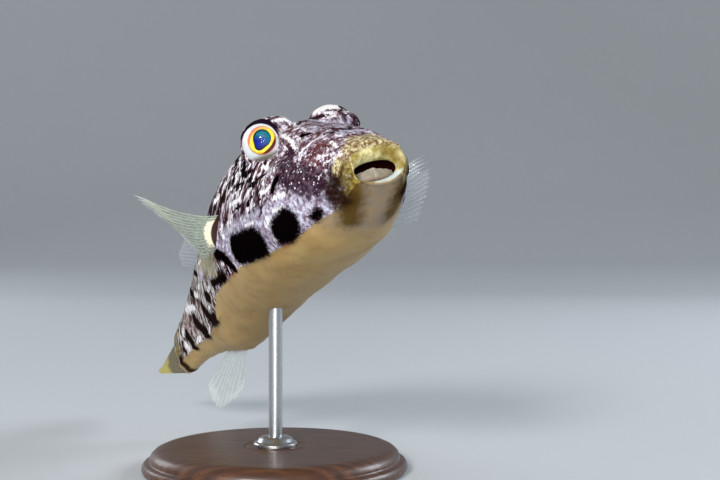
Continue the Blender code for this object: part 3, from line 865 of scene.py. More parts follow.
class Tree:
    """A shader tree built from its inputs up; most methods add one node and return its output."""

    def __init__(self, tree: bpy.types.NodeTree) -> None:
        """Empty the tree ready for use."""
        self.tree = tree
        tree.nodes.clear()

    def feed(self, socket: bpy.types.NodeSocket, value: Feed) -> None:
        """Link an output into an input, or set the input to a constant."""
        if isinstance(value, Wire):
            value = value.socket
        if isinstance(value, bpy.types.NodeSocket):
            self.tree.links.new(value, socket)
        elif isinstance(value, tuple) and len(value) == 3 and socket.type == "RGBA":
            socket.default_value = (*value, 1.0)
        else:
            socket.default_value = value

    def add(self, kind: str, feeds: dict[str | int, Feed], **settings: object) -> bpy.types.Node:
        """One node with its settings and inputs.

        Args:
            kind: Blender's name for the node's type.
            feeds: value or socket for each input, by name or number.
            settings: the node's own properties.

        Returns:
            The node.
        """
        node = self.tree.nodes.new(kind)
        for name, value in settings.items():
            setattr(node, name, value)
        for name, value in feeds.items():
            self.feed(node.inputs[name], value)
        return node

    def wire(self, node: bpy.types.Node, output: str | int) -> Wire:
        """One output of a node."""
        return Wire(self, node.outputs[output])

    def math(self, operation: str, first: Feed, second: Feed, clamp: bool = False) -> Wire:
        """The result of a sum on two values."""
        node = self.add("ShaderNodeMath", {0: first, 1: second}, operation=operation, use_clamp=clamp)
        return self.wire(node, 0)

    def step(self, value: Feed, low: Feed, high: Feed) -> Wire:
        """0 below low, 1 above high and a smooth rise between them."""
        node = self.add("ShaderNodeMapRange", {"Value": value, "From Min": low, "From Max": high},
                        interpolation_type="SMOOTHSTEP")
        return self.wire(node, "Result")

    def mix(self, share: Feed, first: Feed, second: Feed) -> Wire:
        """A colour between two colours."""
        node = self.add("ShaderNodeMix", {}, data_type="RGBA")
        for socket, value in zip((node.inputs[0], node.inputs[6], node.inputs[7]),
                                 (share, first, second)):
            self.feed(socket, value)
        return self.wire(node, 2)

    def value(self, name: str) -> Wire:
        """A number kept on the mesh's points."""
        return self.wire(self.add("ShaderNodeAttribute", {}, attribute_name=name), "Fac")

    def spot(self, name: str) -> Wire:
        """A vector kept on the mesh's points."""
        return self.wire(self.add("ShaderNodeAttribute", {}, attribute_name=name), "Vector")

    def noise(self, where: Feed, scale: Feed, detail: float = 2.0, rough: float = 0.55) -> Wire:
        """Cloudy variation of 0 to 1."""
        node = self.add("ShaderNodeTexNoise", {"Vector": where, "Scale": scale, "Detail": detail,
                                               "Roughness": rough})
        return self.wire(node, "Fac")

    def shifted(self, where: Feed, move: Triple, size: Triple = (1.0, 1.0, 1.0)) -> Wire:
        """A vector moved and stretched."""
        node = self.add("ShaderNodeMapping", {"Vector": where, "Location": move, "Scale": size})
        return self.wire(node, 0)

    def use(self, group: bpy.types.NodeTree, feeds: dict[str | int, Feed]) -> Wire:
        """The first output of a shared group."""
        node = self.tree.nodes.new("ShaderNodeGroup")
        node.node_tree = group
        for name, value in feeds.items():
            self.feed(node.inputs[name], value)
        return self.wire(node, 0)

    def bump(self, height: Feed, microns: float, strength: float) -> Wire:
        """A normal tilted by a height, whose full range stands so many microns high."""
        node = self.add("ShaderNodeBump", {"Strength": strength, "Distance": microns * MM / 1000,
                                           "Height": height})
        return self.wire(node, "Normal")

    def surface(self, **feeds: Feed) -> bpy.types.Node:
        """A Principled surface as the tree's output, with underscores for the spaces of names."""
        node = self.add("ShaderNodeBsdfPrincipled",
                        {name.replace("_", " "): value for name, value in feeds.items()})
        self.show(node.outputs[0])
        return node

    def show(self, closure: bpy.types.NodeSocket) -> None:
        """Make a closure the material's surface."""
        self.add("ShaderNodeOutputMaterial", {"Surface": closure})


def new_group(name: str, inputs: dict[str, tuple[str, float | None]], output: str
              ) -> tuple[Tree, dict[str, Wire], bpy.types.NodeSocket]:
    """A shared effect's empty group.

    Args:
        name: the group's name.
        inputs: kind of socket and starting value by name.
        output: name of its one value output.

    Returns:
        The tree, its inputs by name, and the socket to feed the result into.
    """
    tree = bpy.data.node_groups.new(name, "ShaderNodeTree")
    made = Tree(tree)
    for label, (kind, start) in inputs.items():
        socket = tree.interface.new_socket(label, in_out="INPUT", socket_type=kind)
        if start is not None:
            socket.default_value = start
    tree.interface.new_socket(output, in_out="OUTPUT", socket_type="NodeSocketFloat")
    entry = tree.nodes.new("NodeGroupInput")
    leave = tree.nodes.new("NodeGroupOutput")
    return made, {label: made.wire(entry, label) for label in inputs}, leave.inputs[output]


FLOAT, VECTOR = "NodeSocketFloat", "NodeSocketVector"


class Effects:
    """Shader groups that more than one material uses."""

    def __init__(self) -> None:
        """Build every group once."""
        self.ragged_edge = self.make_ragged_edge()
        self.dots = self.make_dots()
        self.net = self.make_net()
        self.grain = self.make_grain()

    def make_ragged_edge(self) -> bpy.types.NodeTree:
        """Cuts a field at one half, with an edge that wanders."""
        tree, inside, out = new_group("RaggedEdge", {
            "Field": (FLOAT, 0.0), "Vector": (VECTOR, None), "Scale": (FLOAT, 1.0),
            "Wander": (FLOAT, 0.5), "Crisp": (FLOAT, 0.1)}, "Mask")
        cloud = tree.noise(inside["Vector"], inside["Scale"], 2.0, 0.6)
        pushed = (cloud - 0.5) * inside["Wander"]
        # the wander fades out away from the mark so that a bare field stays bare
        near = tree.step(inside["Field"], 0.02, 0.2)
        total = inside["Field"] + pushed * near
        half = inside["Crisp"] * 0.5
        tree.feed(out, tree.step(total, 0.5 - half, 0.5 + half))
        return tree.tree

    def make_dots(self) -> bpy.types.NodeTree:
        """Round spots, one in some of the cells of a scattered pattern."""
        tree, inside, out = new_group("ScatteredDots", {
            "Vector": (VECTOR, None), "Scale": (FLOAT, 1.0), "Share": (FLOAT, 0.5),
            "Size": (FLOAT, 0.3)}, "Mask")
        cells = tree.add("ShaderNodeTexVoronoi", {"Vector": inside["Vector"], "Scale": inside["Scale"],
                                                  "Randomness": 0.85})
        dice = tree.add("ShaderNodeSeparateColor", {"Color": tree.wire(cells, "Color")})
        size = inside["Size"] * (0.55 + tree.wire(dice, "Green") * 0.8)
        disc = tree.step(tree.wire(cells, "Distance"), size, size * 0.62)
        kept = tree.math("LESS_THAN", tree.wire(dice, "Red"), inside["Share"])
        tree.feed(out, disc * kept)
        return tree.tree

    def make_net(self) -> bpy.types.NodeTree:
        """Thin lines round scattered cells, broken in places."""
        tree, inside, out = new_group("BrokenNet", {
            "Vector": (VECTOR, None), "Scale": (FLOAT, 1.0), "Width": (FLOAT, 0.1),
            "Break": (FLOAT, 0.5)}, "Mask")
        place, scale = inside["Vector"], inside["Scale"]
        bent = tree.add("ShaderNodeTexNoise", {"Vector": place, "Scale": scale, "Detail": 1.0})
        pushed = tree.add("ShaderNodeVectorMath", {0: place, 1: bent.outputs["Color"]}, operation="ADD")
        edge = tree.add("ShaderNodeTexVoronoi", {"Vector": pushed.outputs[0], "Scale": scale},
                        feature="DISTANCE_TO_EDGE")
        lines = tree.step(tree.wire(edge, "Distance"), inside["Width"], inside["Width"] * 0.5)
        gaps = tree.noise(place, scale * 0.7)
        whole = tree.step(gaps, inside["Break"], inside["Break"] + 0.08)
        tree.feed(out, lines * whole)
        return tree.tree

    def make_grain(self) -> bpy.types.NodeTree:
        """Height of the skin's pimples and fine creases."""
        tree, inside, out = new_group("SkinGrain", {
            "Vector": (VECTOR, None), "Scale": (FLOAT, 1.0), "Pimples": (FLOAT, 0.5)}, "Height")
        place, scale = inside["Vector"], inside["Scale"]
        cells = tree.add("ShaderNodeTexVoronoi", {"Vector": place, "Scale": scale * 2.2},
                         feature="SMOOTH_F1")
        pimple = tree.step(tree.wire(cells, "Distance"), 0.5, 0.05) * inside["Pimples"]
        creases = tree.add("ShaderNodeTexVoronoi", {"Vector": place, "Scale": scale * 1.1},
                           feature="DISTANCE_TO_EDGE")
        lines = tree.step(tree.wire(creases, "Distance"), 0.0, 0.16) * 0.14
        fine = tree.noise(place, scale, 4.0, 0.65) * 0.6
        tree.feed(out, pimple + lines + fine)
        return tree.tree


def material(name: str) -> tuple[bpy.types.Material, Tree]:
    """A new material and its empty tree."""
    made = bpy.data.materials.new(name)
    made.use_nodes = True
    return made, Tree(made.node_tree)


@dataclass(frozen=True)
class SkinFinish:
    """Colours of the skin, and how its marks are laid over each other."""

    effects: Effects
    umber: Colour = tint(38, 22, 28)
    mauve: Colour = tint(112, 80, 90)
    cloud: Colour = tint(226, 220, 234)
    lavender: Colour = tint(160, 150, 172)
    white: Colour = tint(244, 240, 240)
    plum: Colour = tint(44, 24, 38)
    night: Colour = tint(6, 3, 4)
    walnut: Colour = tint(32, 15, 10)
    rust: Colour = tint(92, 46, 44)
    olive: Colour = tint(92, 74, 18)
    tan: Colour = tint(174, 146, 94)
    tan_shade: Colour = tint(146, 114, 64)
    chin: Colour = tint(142, 128, 110)
    sand: Colour = tint(190, 174, 132)
    speck: Colour = tint(112, 80, 52)
    butter: Colour = tint(222, 212, 158)
    mustard: Colour = tint(150, 132, 60)
    cream: Colour = tint(236, 226, 176)
    milk: Colour = tint(198, 210, 208)
    maroon: Colour = tint(44, 8, 10)
    # dark line along the upper lid: partly the skin's own colour, partly painted shade in the lid's
    # crease
    rim: Colour = tint(26, 16, 30)
    shine: float = 0.10          # gloss of the skin itself
    film: float = 0.05           # gloss of the wet film on it, which black skin doesn't show

    def cut(self, tree: Tree, mark: Mark, where: Feed, wander: float, scale: float = 1.3,
            crisp: float = 0.16) -> Wire:
        """One kind of mark as a mask with a ragged edge."""
        return tree.use(self.effects.ragged_edge, {
            "Field": tree.value(mark.value), "Vector": where, "Scale": scale, "Wander": wander,
            "Crisp": crisp})

    def ground(self, tree: Tree, where: Feed, run: Feed) -> Wire:
        """Colour of the back and cheeks before the marks: streaked behind, mottled in front."""
        lay = tree.mix
        streak = tree.noise(where, 1.05, 3.0, 0.62)
        broad = (tree.noise(where, 0.35, 2.0) - 0.5) * 0.3
        streak = streak + broad
        pale = lay(tree.step(tree.noise(tree.shifted(where, (7, 3, 1)), 1.2, 2.0), 0.42, 0.6),
                   self.lavender, self.white)
        rear = lay(tree.step(streak, 0.46, 0.49), self.umber, self.mauve)
        rear = lay(tree.step(streak, 0.515, 0.545), rear, pale)
        brown = lay(tree.step(streak, 0.43, 0.57), tint(66, 50, 42), tint(190, 182, 172))
        rear = lay(tree.step(run, 0.46, 0.62) * 0.65, rear, brown)
        place = tree.spot("skin_round")
        speck = tree.noise(tree.shifted(place, (2, 9, 4)), 1.35, 4.0, 0.66)
        speck = speck + (tree.noise(tree.shifted(place, (5, 1, 8)), 0.42, 2.0) - 0.5) * 0.34
        front = lay(tree.step(speck, 0.43, 0.47), tint(70, 38, 42), self.mauve)
        front = lay(tree.step(speck, 0.49, 0.55), front, self.lavender)
        front = lay(tree.step(speck, 0.57, 0.61), front, self.white)
        edge = run + tree.noise(where, 0.6) * 0.06
        base = lay(tree.step(edge, 0.180, 0.225), front, rear)
        # painted light and shade: the wrinkles paler on their crests and darker in their troughs,
        # following their relief
        wrinkle = tree.value("skin_wrinkle")
        base = lay(tree.step(wrinkle, 0.15, 0.5) * 0.8, base, self.cloud)
        return lay(tree.step(wrinkle, -0.2, -0.55) * 0.75, base, self.umber)

    def upper(self, tree: Tree, where: Feed, run: Feed, around: Feed, base: Feed) -> Wire:
        """The back: browner, with a pale net."""
        brown = tree.mix(tree.step(tree.noise(where, 0.9, 3.0), 0.42, 0.6), tint(58, 42, 38),
                         tint(112, 90, 76))
        net = tree.use(self.effects.net, {"Vector": where, "Scale": 0.75, "Width": 0.12, "Break": 0.42})
        brown = tree.mix(net * 0.5, brown, tint(164, 150, 138))
        dots = tree.use(self.effects.dots, {"Vector": where, "Scale": 1.1, "Share": 0.4, "Size": 0.25})
        brown = tree.mix(dots * 0.8, brown, tint(196, 184, 172))
        high = tree.step(around + tree.noise(where, 0.4) * 0.12, 0.33, 0.2)
        far = tree.step(run + tree.noise(where, 0.5) * 0.12, 0.26, 0.42) * 0.8
        return tree.mix(high * far, base, brown)

    def marks(self, tree: Tree, where: Feed, base: Feed) -> Wire:
        """The marks laid on the ground in order, from the broad and soft to the small and pale."""
        lay = tree.mix
        place = tree.spot("skin_round")
        fine = tree.noise(place, 1.15, 4.0, 0.62)
        mist = lay(tree.step(fine, 0.36, 0.48), tint(108, 84, 104), self.lavender)
        mist = lay(tree.step(fine, 0.50, 0.60), mist, tint(214, 216, 232))
        drift = tree.step(tree.noise(tree.shifted(place, (1, 6, 2)), 0.6, 3.0), 0.34, 0.52)
        lilac = self.cut(tree, Mark.LILAC, place, 1.2, 1.0, 0.9) * (0.48 + drift * 0.48)
        base = lay(lilac, base, mist)
        plum = self.cut(tree, Mark.PLUM, place, 1.1, 1.0, 0.6)
        purple = lay(tree.step(fine, 0.48, 0.66), self.plum, tint(90, 62, 80))
        base = lay(plum * 0.95, base, purple)
        worn = 0.25 + tree.step(fine, 0.42, 0.56) * 0.65
        base = lay(self.cut(tree, Mark.RUST, place, 1.6, 1.4, 0.7) * worn, base, self.rust)
        base = lay(self.cut(tree, Mark.OLIVE, place, 0.8, 0.8, 1.0), base,
                   lay(tree.step(fine, 0.4, 0.62), self.olive, self.mustard))
        run = tree.value("skin_run")
        ahead = tree.step(run, 0.20, 0.16) * tree.step(run, 0.024, 0.040)
        for scale, share, size in ((1.0, 0.62, 0.20), (1.75, 0.40, 0.24)):
            dots = tree.use(self.effects.dots, {"Vector": tree.shifted(place, (scale, 0, 0)),
                                                "Scale": scale, "Share": share, "Size": size})
            base = lay(dots * ahead, base, self.cloud)
        calm = self.cut(tree, Mark.SMOOTH, place, 0.9, 0.6, 1.0) * 0.85
        base = lay(calm, base, lay(tree.step(fine, 0.35, 0.65), tint(128, 120, 88), tint(170, 160, 130)))
        whole = tree.step(tree.noise(tree.shifted(where, (8, 2, 5)), 2.2, 2.0), 0.38, 0.46)
        bright = self.cut(tree, Mark.PALE, where, 1.7, 2.6, 0.3) * whole
        base = lay(bright, base, lay(tree.step(fine, 0.34, 0.54), self.cloud, self.white))
        cap = self.cut(tree, Mark.CAP, place, 1.0, 1.6, 0.7) * 0.92
        return lay(cap, base, self.white)

    def under(self, tree: Tree, where: Feed, base: Feed) -> Wire:
        """The belly and chin."""
        lay = tree.mix
        broad = tree.noise(where, 0.16, 2.0)
        soft = tree.step(tree.noise(tree.shifted(where, (0, 4, 0)), 0.5, 4.0, 0.6), 0.35, 0.7)
        tan = lay(tree.step(broad, 0.42, 0.68) * 0.5, self.tan, self.tan_shade)
        tan = lay(soft * 0.25, tan, tint(182, 156, 116))
        chin = lay(tree.step(tree.noise(where, 0.45, 2.0), 0.4, 0.65), self.chin, tint(150, 128, 100))
        tan = lay(self.cut(tree, Mark.CHIN, where, 0.5, 0.5, 1.0), tan, chin)
        streaks = self.cut(tree, Mark.OLIVE, where, 0.8, 0.7, 1.0) * 0.95
        tan = lay(streaks, tan, tint(84, 62, 14))
        warm = self.cut(tree, Mark.RUST, where, 1.0, 0.9, 0.8) * 0.6
        tan = lay(warm, tan, tint(150, 92, 44))
        return lay(self.cut(tree, Mark.BELLY, where, 0.6, 1.8, 0.2), base, tan)

    def blotches(self, tree: Tree, base: Feed) -> Wire:
        """The brown and black blotches."""
        place = tree.spot("skin_round")
        brown = self.cut(tree, Mark.BROWN, place, 0.7, 0.8, 1.0)
        base = tree.mix(brown * 0.97, base, self.walnut)
        halo = self.cut(tree, Mark.DARK, tree.shifted(place, (4, 0, 2)), 0.9, 2.4, 1.0)
        base = tree.mix(halo * 0.75, base, tint(34, 20, 16))
        where = tree.spot("skin_spot")
        bars = self.cut(tree, Mark.STREAK, where, 1.7, 1.1, 0.3)
        broken = tree.step(tree.noise(tree.shifted(where, (3, 7, 1)), 1.2, 3.0, 0.6), 0.41, 0.47)
        base = tree.mix(bars * broken, base, tint(16, 8, 11))
        dark = self.cut(tree, Mark.DARK, place, 0.9, 2.2, 0.45)
        black = tree.mix(tree.step(tree.value("skin_run"), 0.42, 0.60), self.night, tint(30, 19, 18))
        return tree.mix(dark, base, black)

    def mouth(self, tree: Tree, where: Feed, base: Feed) -> Wire:
        """Speckled snout top, yellow and bluish lips and the dark inside of the mouth."""
        lay = tree.mix
        speckle = tree.noise(where, 1.6, 4.0, 0.70)
        sand = lay(tree.step(speckle, 0.43, 0.52), self.speck, self.sand)
        sand = lay(tree.step(speckle, 0.54, 0.60), sand, tint(226, 216, 176))
        base = lay(self.cut(tree, Mark.SAND, where, 1.0, 1.4, 0.9), base, sand)
        folds = tree.step(tree.noise(tree.shifted(where, (3, 0, 0)), 0.75, 3.0, 0.55), 0.36, 0.66)
        yellow = lay(folds, self.mustard, self.butter)
        yellow = lay(tree.step(speckle, 0.56, 0.66) * 0.5, yellow, self.cream)
        base = lay(self.cut(tree, Mark.LIP, where, 0.4, 1.2, 0.8), base, yellow)
        # painted shade: the lip darker olive at its far end and along its edge
        shade = self.cut(tree, Mark.MUSTARD, where, 0.6, 1.0, 1.0) * 0.75
        base = lay(shade, base, tint(120, 98, 34))
        base = lay(self.cut(tree, Mark.LIP_COOL, where, 0.4, 0.8, 0.9), base, self.milk)
        base = lay(self.cut(tree, Mark.GUM, where, 0.12, 1.0, 0.3), base, self.maroon)
        # the dark line along the upper lid, partly painted shade in its crease
        return lay(self.cut(tree, Mark.RIM, where, 0.25, 1.2, 0.3), base, self.rim)

    def build(self) -> bpy.types.Material:
        """The skin's material."""
        made, tree = material("mottled_skin")
        where, run, around = tree.spot("skin_spot"), tree.value("skin_run"), tree.value("skin_around")
        base = self.ground(tree, where, run)
        base = self.upper(tree, where, run, around, base)
        base = self.marks(tree, where, base)
        place = tree.spot("skin_round")
        base = self.under(tree, place, base)
        base = self.blotches(tree, base)
        base = self.mouth(tree, place, base)
        grain = tree.use(self.effects.grain, {"Vector": place, "Scale": 1.0, "Pimples": 0.55})
        rough = 0.36 + tree.noise(place, 1.4) * 0.2
        light = tree.wire(tree.add("ShaderNodeRGBToBW", {"Color": base}), "Val")
        wet = tree.step(light, 0.01, 0.16)
        tree.surface(Base_Color=base, Roughness=rough - tree.value(Mark.GUM.value) * 0.15,
                     Specular_IOR_Level=wet * self.shine, Coat_Weight=wet * self.film,
                     Coat_Roughness=0.10,
                     Subsurface_Weight=0.05, Subsurface_Scale=0.0008,
                     Subsurface_Radius=(1.0, 0.5, 0.4), Normal=tree.bump(grain, 120, 0.7))
        return made


@dataclass(frozen=True)
class LappetFinish:
    """The small white flaps of skin on the flanks."""

    effects: Effects

    def build(self) -> bpy.types.Material:
        """White with a lavender foot."""
        made, tree = material("white_lappets")
        height = tree.value("flap_height")
        where = tree.spot("skin_spot")
        cloud = tree.step(tree.noise(where, 1.2), 0.35, 0.65)
        tip = tree.mix(cloud, tint(222, 214, 216), tint(246, 244, 240))
        base = tree.mix(tree.step(height, 0.05, 0.6), tint(168, 150, 160), tip)
        grain = tree.use(self.effects.grain, {"Vector": where, "Scale": 1.5, "Pimples": 0.3})
        tree.surface(Base_Color=base, Roughness=0.42 + cloud * 0.1, Subsurface_Weight=0.1,
                     Subsurface_Scale=0.001, Normal=tree.bump(grain, 60, 0.6))
        return made


@dataclass(frozen=True)
class FinFinish:
    """Clear webs between paler rays, with a fleshy root, a coloured edge and painted shade along the root
    next to the body.
    """

    effects: Effects
    name: str
    web: Colour
    ray: Colour
    root: Colour
    tip: Colour
    clear: float                 # how opaque the web is in its middle
    root_end: float = 0.10       # share of the fin's length that its root covers
    root_middle: float = 4.5     # ray number where the root is widest
    root_half: float = 7.0       # rays from there to where it ends
    ray_cover: float = 0.85      # how opaque the rays are
    root_shade_height: float = -0.15           # height at which the painted shade along the root, next to the body, starts
    root_shade_colour: Colour = tint(60, 30, 26)
    tip_start: float = 0.86

    def build(self) -> bpy.types.Material:
        """The fin's material."""
        made, tree = material(self.name)
        height, ray = tree.value("fin_height"), tree.value("fin_ray")
        where = tree.spot("fin_spot")
        cloud = tree.noise(where, 0.9, 3.0, 0.6)
        base = tree.mix(tree.step(cloud, 0.35, 0.7) * 0.5, self.web, self.ray)
        wander = height + (cloud - 0.5) * 0.25
        base = tree.mix(tree.step(wander, self.tip_start - 0.12, self.tip_start + 0.06), base, self.tip)
        base = tree.mix(ray, base, self.ray)
        number = tree.wire(tree.add("ShaderNodeSeparateXYZ", {0: where}), "X")
        off = (number - self.root_middle) / self.root_half
        arch = tree.math("SUBTRACT", 1.0, off * off, clamp=True)
        limit = arch * (self.root_end + 0.14) - 0.14
        root = tree.step(wander - limit, 0.03, -0.05)
        base = tree.mix(root, base, self.root)
        # painted shade: a dark line along the fin's root where it meets the body
        level = arch * (self.root_shade_height + 0.075) - 0.075
        base = tree.mix(tree.step(height - level, 0.006, -0.006), base, self.root_shade_colour)
        solid = tree.math("MAXIMUM", root, ray * self.ray_cover)
        veil = tree.step(cloud, 0.2, 0.8) * 0.35
        thin = self.clear + veil * self.clear
        alpha = tree.math("MAXIMUM", thin, solid, clamp=True)
        grain = tree.use(self.effects.grain, {"Vector": where, "Scale": 1.1, "Pimples": 0.15})
        tree.surface(Base_Color=base, Alpha=alpha, Coat_Weight=0.15, Roughness=0.3 + cloud * 0.2,
                     Normal=tree.bump(grain, 80, 0.5))
        return made


@dataclass(frozen=True)
class EyeFinish:
    """Colours of the eye, laid out on the iris with its middle at the origin and its edge at 1.

    The first number of a place runs towards the snout and the second up the fish's back.
    """

    effects: Effects
    gold: Colour = tint(248, 208, 24)
    pale_gold: Colour = tint(250, 228, 110)
    straw: Colour = tint(222, 176, 104)
    salmon: Colour = tint(226, 128, 84)
    ember: Colour = tint(226, 98, 22)
    # painted shadow of the iris's fold, wine red
    iris_fold_shadow: Colour = tint(74, 16, 14)
    night: Colour = tint(6, 5, 12)
    teal: Colour = tint(0, 104, 122)
    azure: Colour = tint(2, 74, 140)
    royal: Colour = tint(2, 24, 138)
    shell: Colour = tint(222, 224, 228)
    # painted shade on the lower part of the eye's white
    shell_painted_shade: Colour = tint(112, 108, 96)

    def toward(self, east: Wire, north: Wire, degrees: float) -> Wire:
        """How far a place lies in one direction from the iris's middle."""
        turn = math.radians(degrees)
        return east * math.cos(turn) + north * math.sin(turn)

    def pupil(self, tree: Tree, east: Wire, north: Wire, where: Feed) -> Wire:
        """The pupil's teal and blue glow, darker at its edge."""
        cloud = (tree.noise(where, 3.2, 3.0) - 0.5) * 0.5
        high = self.toward(east, north, 68) + cloud
        right = self.toward(east, north, -10) + cloud
        blue = tree.mix(tree.step(right, -0.15, 0.25), self.royal, self.azure)
        # painted light: the pupil's glow teal towards the top
        glow = tree.mix(tree.step(high, 0.0, 0.42), blue, self.teal)
        depth = tree.step(tree.noise(tree.shifted(where, (4, 2, 0)), 2.4, 2.0), 0.55, 0.75)
        glow = tree.mix(depth * 0.6, glow, tint(8, 12, 60))
        # painted shade: the glow darker towards the bottom
        glow = tree.mix(tree.step(self.toward(east, north, -80), 0.22, 0.50), glow, tint(4, 12, 54))
        zone = tree.value("eye_zone")
        return tree.mix(tree.step(zone, 0.86, 0.97), glow, self.night)

    def iris(self, tree: Tree, east: Wire, north: Wire, where: Feed) -> Wire:
        """Gold round the pupil, salmon above, ember red below, and wine red below and ahead as a painted
        shadow of the iris's fold.
        """
        zone = tree.value("eye_zone")
        cloud = tree.noise(where, 5.0, 3.0, 0.6) - 0.5
        out = zone + cloud * 0.18
        high = self.toward(east, north, 132)
        low = self.toward(east, north, -52)
        gold = tree.mix(tree.step(cloud, -0.08, 0.2), self.gold, self.pale_gold)
        gold = tree.mix(tree.step(self.toward(east, north, 95), 0.45, 0.85), gold, self.straw)
        # how far the gold reaches across the iris in each direction
        reach = 1.98 - tree.step(high, 0.35, 0.95) * 0.8
        reach = reach - tree.step(low, 0.4, 0.8) * 0.66
        beyond = tree.step(out, reach, reach + 0.16)
        outer = tree.mix(tree.step(high, 0.1, 0.6), self.ember, self.salmon)
        # painted shadow of the iris's fold: wine red towards the lower front
        outer = tree.mix(tree.step(self.toward(east, north, -54), 0.52, 0.78), outer, self.iris_fold_shadow)
        warm = tree.mix(beyond, gold, outer)
        rim = tree.step(out, 1.84, 1.94)
        edge = tree.mix(tree.step(low, 0.1, 0.5), self.salmon, self.ember)
        warm = tree.mix(rim, warm, edge)
        return tree.mix(tree.step(zone, 1.045, 1.01), warm, self.night)

    def build(self) -> bpy.types.Material:
        """The material of the globe with its iris and pupil."""
        made, tree = material("eye_globe")
        where = tree.spot("eye_spot")
        parts = tree.add("ShaderNodeSeparateXYZ", {0: where})
        east, north = tree.wire(parts, "X"), tree.wire(parts, "Y")
        zone = tree.value("eye_zone")
        base = tree.mix(tree.step(zone, 0.985, 1.005), self.pupil(tree, east, north, where),
                        self.iris(tree, east, north, where))
        veins = tree.noise(where, 3.0, 3.0)
        shell = tree.mix(tree.step(veins, 0.4, 0.7) * 0.3, self.shell, tint(190, 196, 210))
        # painted shade: the white of the eye darker towards the bottom
        shell = tree.mix(tree.step(north, -0.80, -1.22), shell, self.shell_painted_shade)
        base = tree.mix(tree.step(zone, 1.985, 2.01), base, shell)
        fibres = tree.use(self.effects.grain, {"Vector": where, "Scale": 6.0, "Pimples": 0.1})
        wet = tree.step(zone, 1.99, 2.02) * 0.3
        tree.surface(Base_Color=base, Roughness=0.28 + veins * 0.15, Coat_Weight=wet,
                     Coat_Roughness=0.1, Specular_IOR_Level=0.12, Normal=tree.bump(fibres, 50, 0.4))
        return made


@dataclass(frozen=True)
class CorneaFinish:
    """The clear window over the iris."""

    index: float = 1.22

    def build(self) -> bpy.types.Material:
        """Clear face on, bright at a glancing angle, with a very faint film."""
        made, tree = material("eye_cornea")
        film = tree.noise(tree.spot("eye_spot"), 4.0, 2.0)
        gloss = tree.add("ShaderNodeBsdfGlossy", {"Color": (1.0, 1.0, 1.0), "Roughness": film * 0.06})
        clear = tree.add("ShaderNodeBsdfTransparent", {"Color": (0.97, 0.985, 1.0)})
        edge = tree.add("ShaderNodeFresnel", {"IOR": self.index})
        both = tree.add("ShaderNodeMixShader", {0: edge.outputs[0], 1: clear.outputs[0],
                                                2: gloss.outputs[0]})
        tree.show(both.outputs[0])
        return made


@dataclass(frozen=True)
class BeakFinish:
    """The tooth plate: warm grey enamel with growth lines."""

    effects: Effects

    def build(self) -> bpy.types.Material:
        """The tooth plate's material."""
        made, tree = material("beak_enamel")
        where, height = tree.spot("beak_spot"), tree.value("beak_height")
        lines = tree.add("ShaderNodeTexWave", {"Vector": where, "Scale": 0.9, "Distortion": 2.5,
                                               "Detail": 2.0}, bands_direction="Z")
        growth = tree.wire(lines, "Fac")
        cloud = tree.step(tree.noise(where, 0.8, 3.0), 0.35, 0.7)
        base = tree.mix(cloud, tint(168, 160, 144), tint(142, 132, 116))
        base = tree.mix(growth * 0.15, base, tint(150, 130, 100))
        base = tree.mix(tree.step(height, 0.45, 0.05), base, tint(110, 74, 60))
        base = tree.mix(tree.step(height, 0.86, 1.0), base, tint(206, 198, 184))
        tree.surface(Base_Color=base, Roughness=0.26 + cloud * 0.14, Subsurface_Weight=0.08,
                     Subsurface_Scale=0.001, Normal=tree.bump(growth * 0.5 + cloud, 50, 0.5))
        return made


@dataclass(frozen=True)
class WoodFinish:
    """Oiled walnut with its grain along one side of the base."""

    def build(self) -> bpy.types.Material:
        """The stand's wood."""
        made, tree = material("oiled_walnut")
        space = tree.wire(tree.add("ShaderNodeTexCoord", {}), "Object")
        stretched = tree.shifted(space, (0.3, 0.1, 0.0), (60.0, 420.0, 420.0))
        rings = tree.add("ShaderNodeTexWave", {"Vector": tree.shifted(space, (0.01, 0.004, 0.02),
                                                                      (30.0, 150.0, 150.0)),
                                               "Scale": 1.0, "Distortion": 5.0, "Detail": 3.0,
                                               "Detail Scale": 0.6}, bands_direction="Y")
        fibre = tree.noise(stretched, 2.0, 5.0, 0.65)
        base = tree.mix(tree.wire(rings, "Fac"), tint(58, 34, 22), tint(98, 62, 40))
        base = tree.mix(tree.step(fibre, 0.42, 0.62), base, tint(74, 44, 28))
        pores = tree.step(tree.noise(tree.shifted(space, (0, 0, 0), (300.0, 2600.0, 2600.0)), 1.0, 2.0),
                          0.62, 0.70)
        base = tree.mix(pores * 0.7, base, tint(30, 17, 11))
        tree.surface(Base_Color=base, Coat_Weight=0.25, Coat_Roughness=0.2,
                     Roughness=0.36 + fibre * 0.18, Normal=tree.bump(fibre - pores, 40, 0.5))
        return made


@dataclass(frozen=True)
class SteelFinish:
    """Brushed steel of the rod and its collar."""

    def build(self) -> bpy.types.Material:
        """The stand's steel."""
        made, tree = material("brushed_steel")
        space = tree.wire(tree.add("ShaderNodeTexCoord", {}), "Object")
        brushed = tree.noise(tree.shifted(space, (0, 0, 0), (1500.0, 1500.0, 9000.0)), 1.0, 3.0)
        base = tree.mix(brushed * 0.4, tint(196, 198, 200), tint(150, 152, 156))
        tree.surface(Base_Color=base, Metallic=1.0, Roughness=0.2 + brushed * 0.2,
                     Normal=tree.bump(brushed, 10, 0.4))
        return made


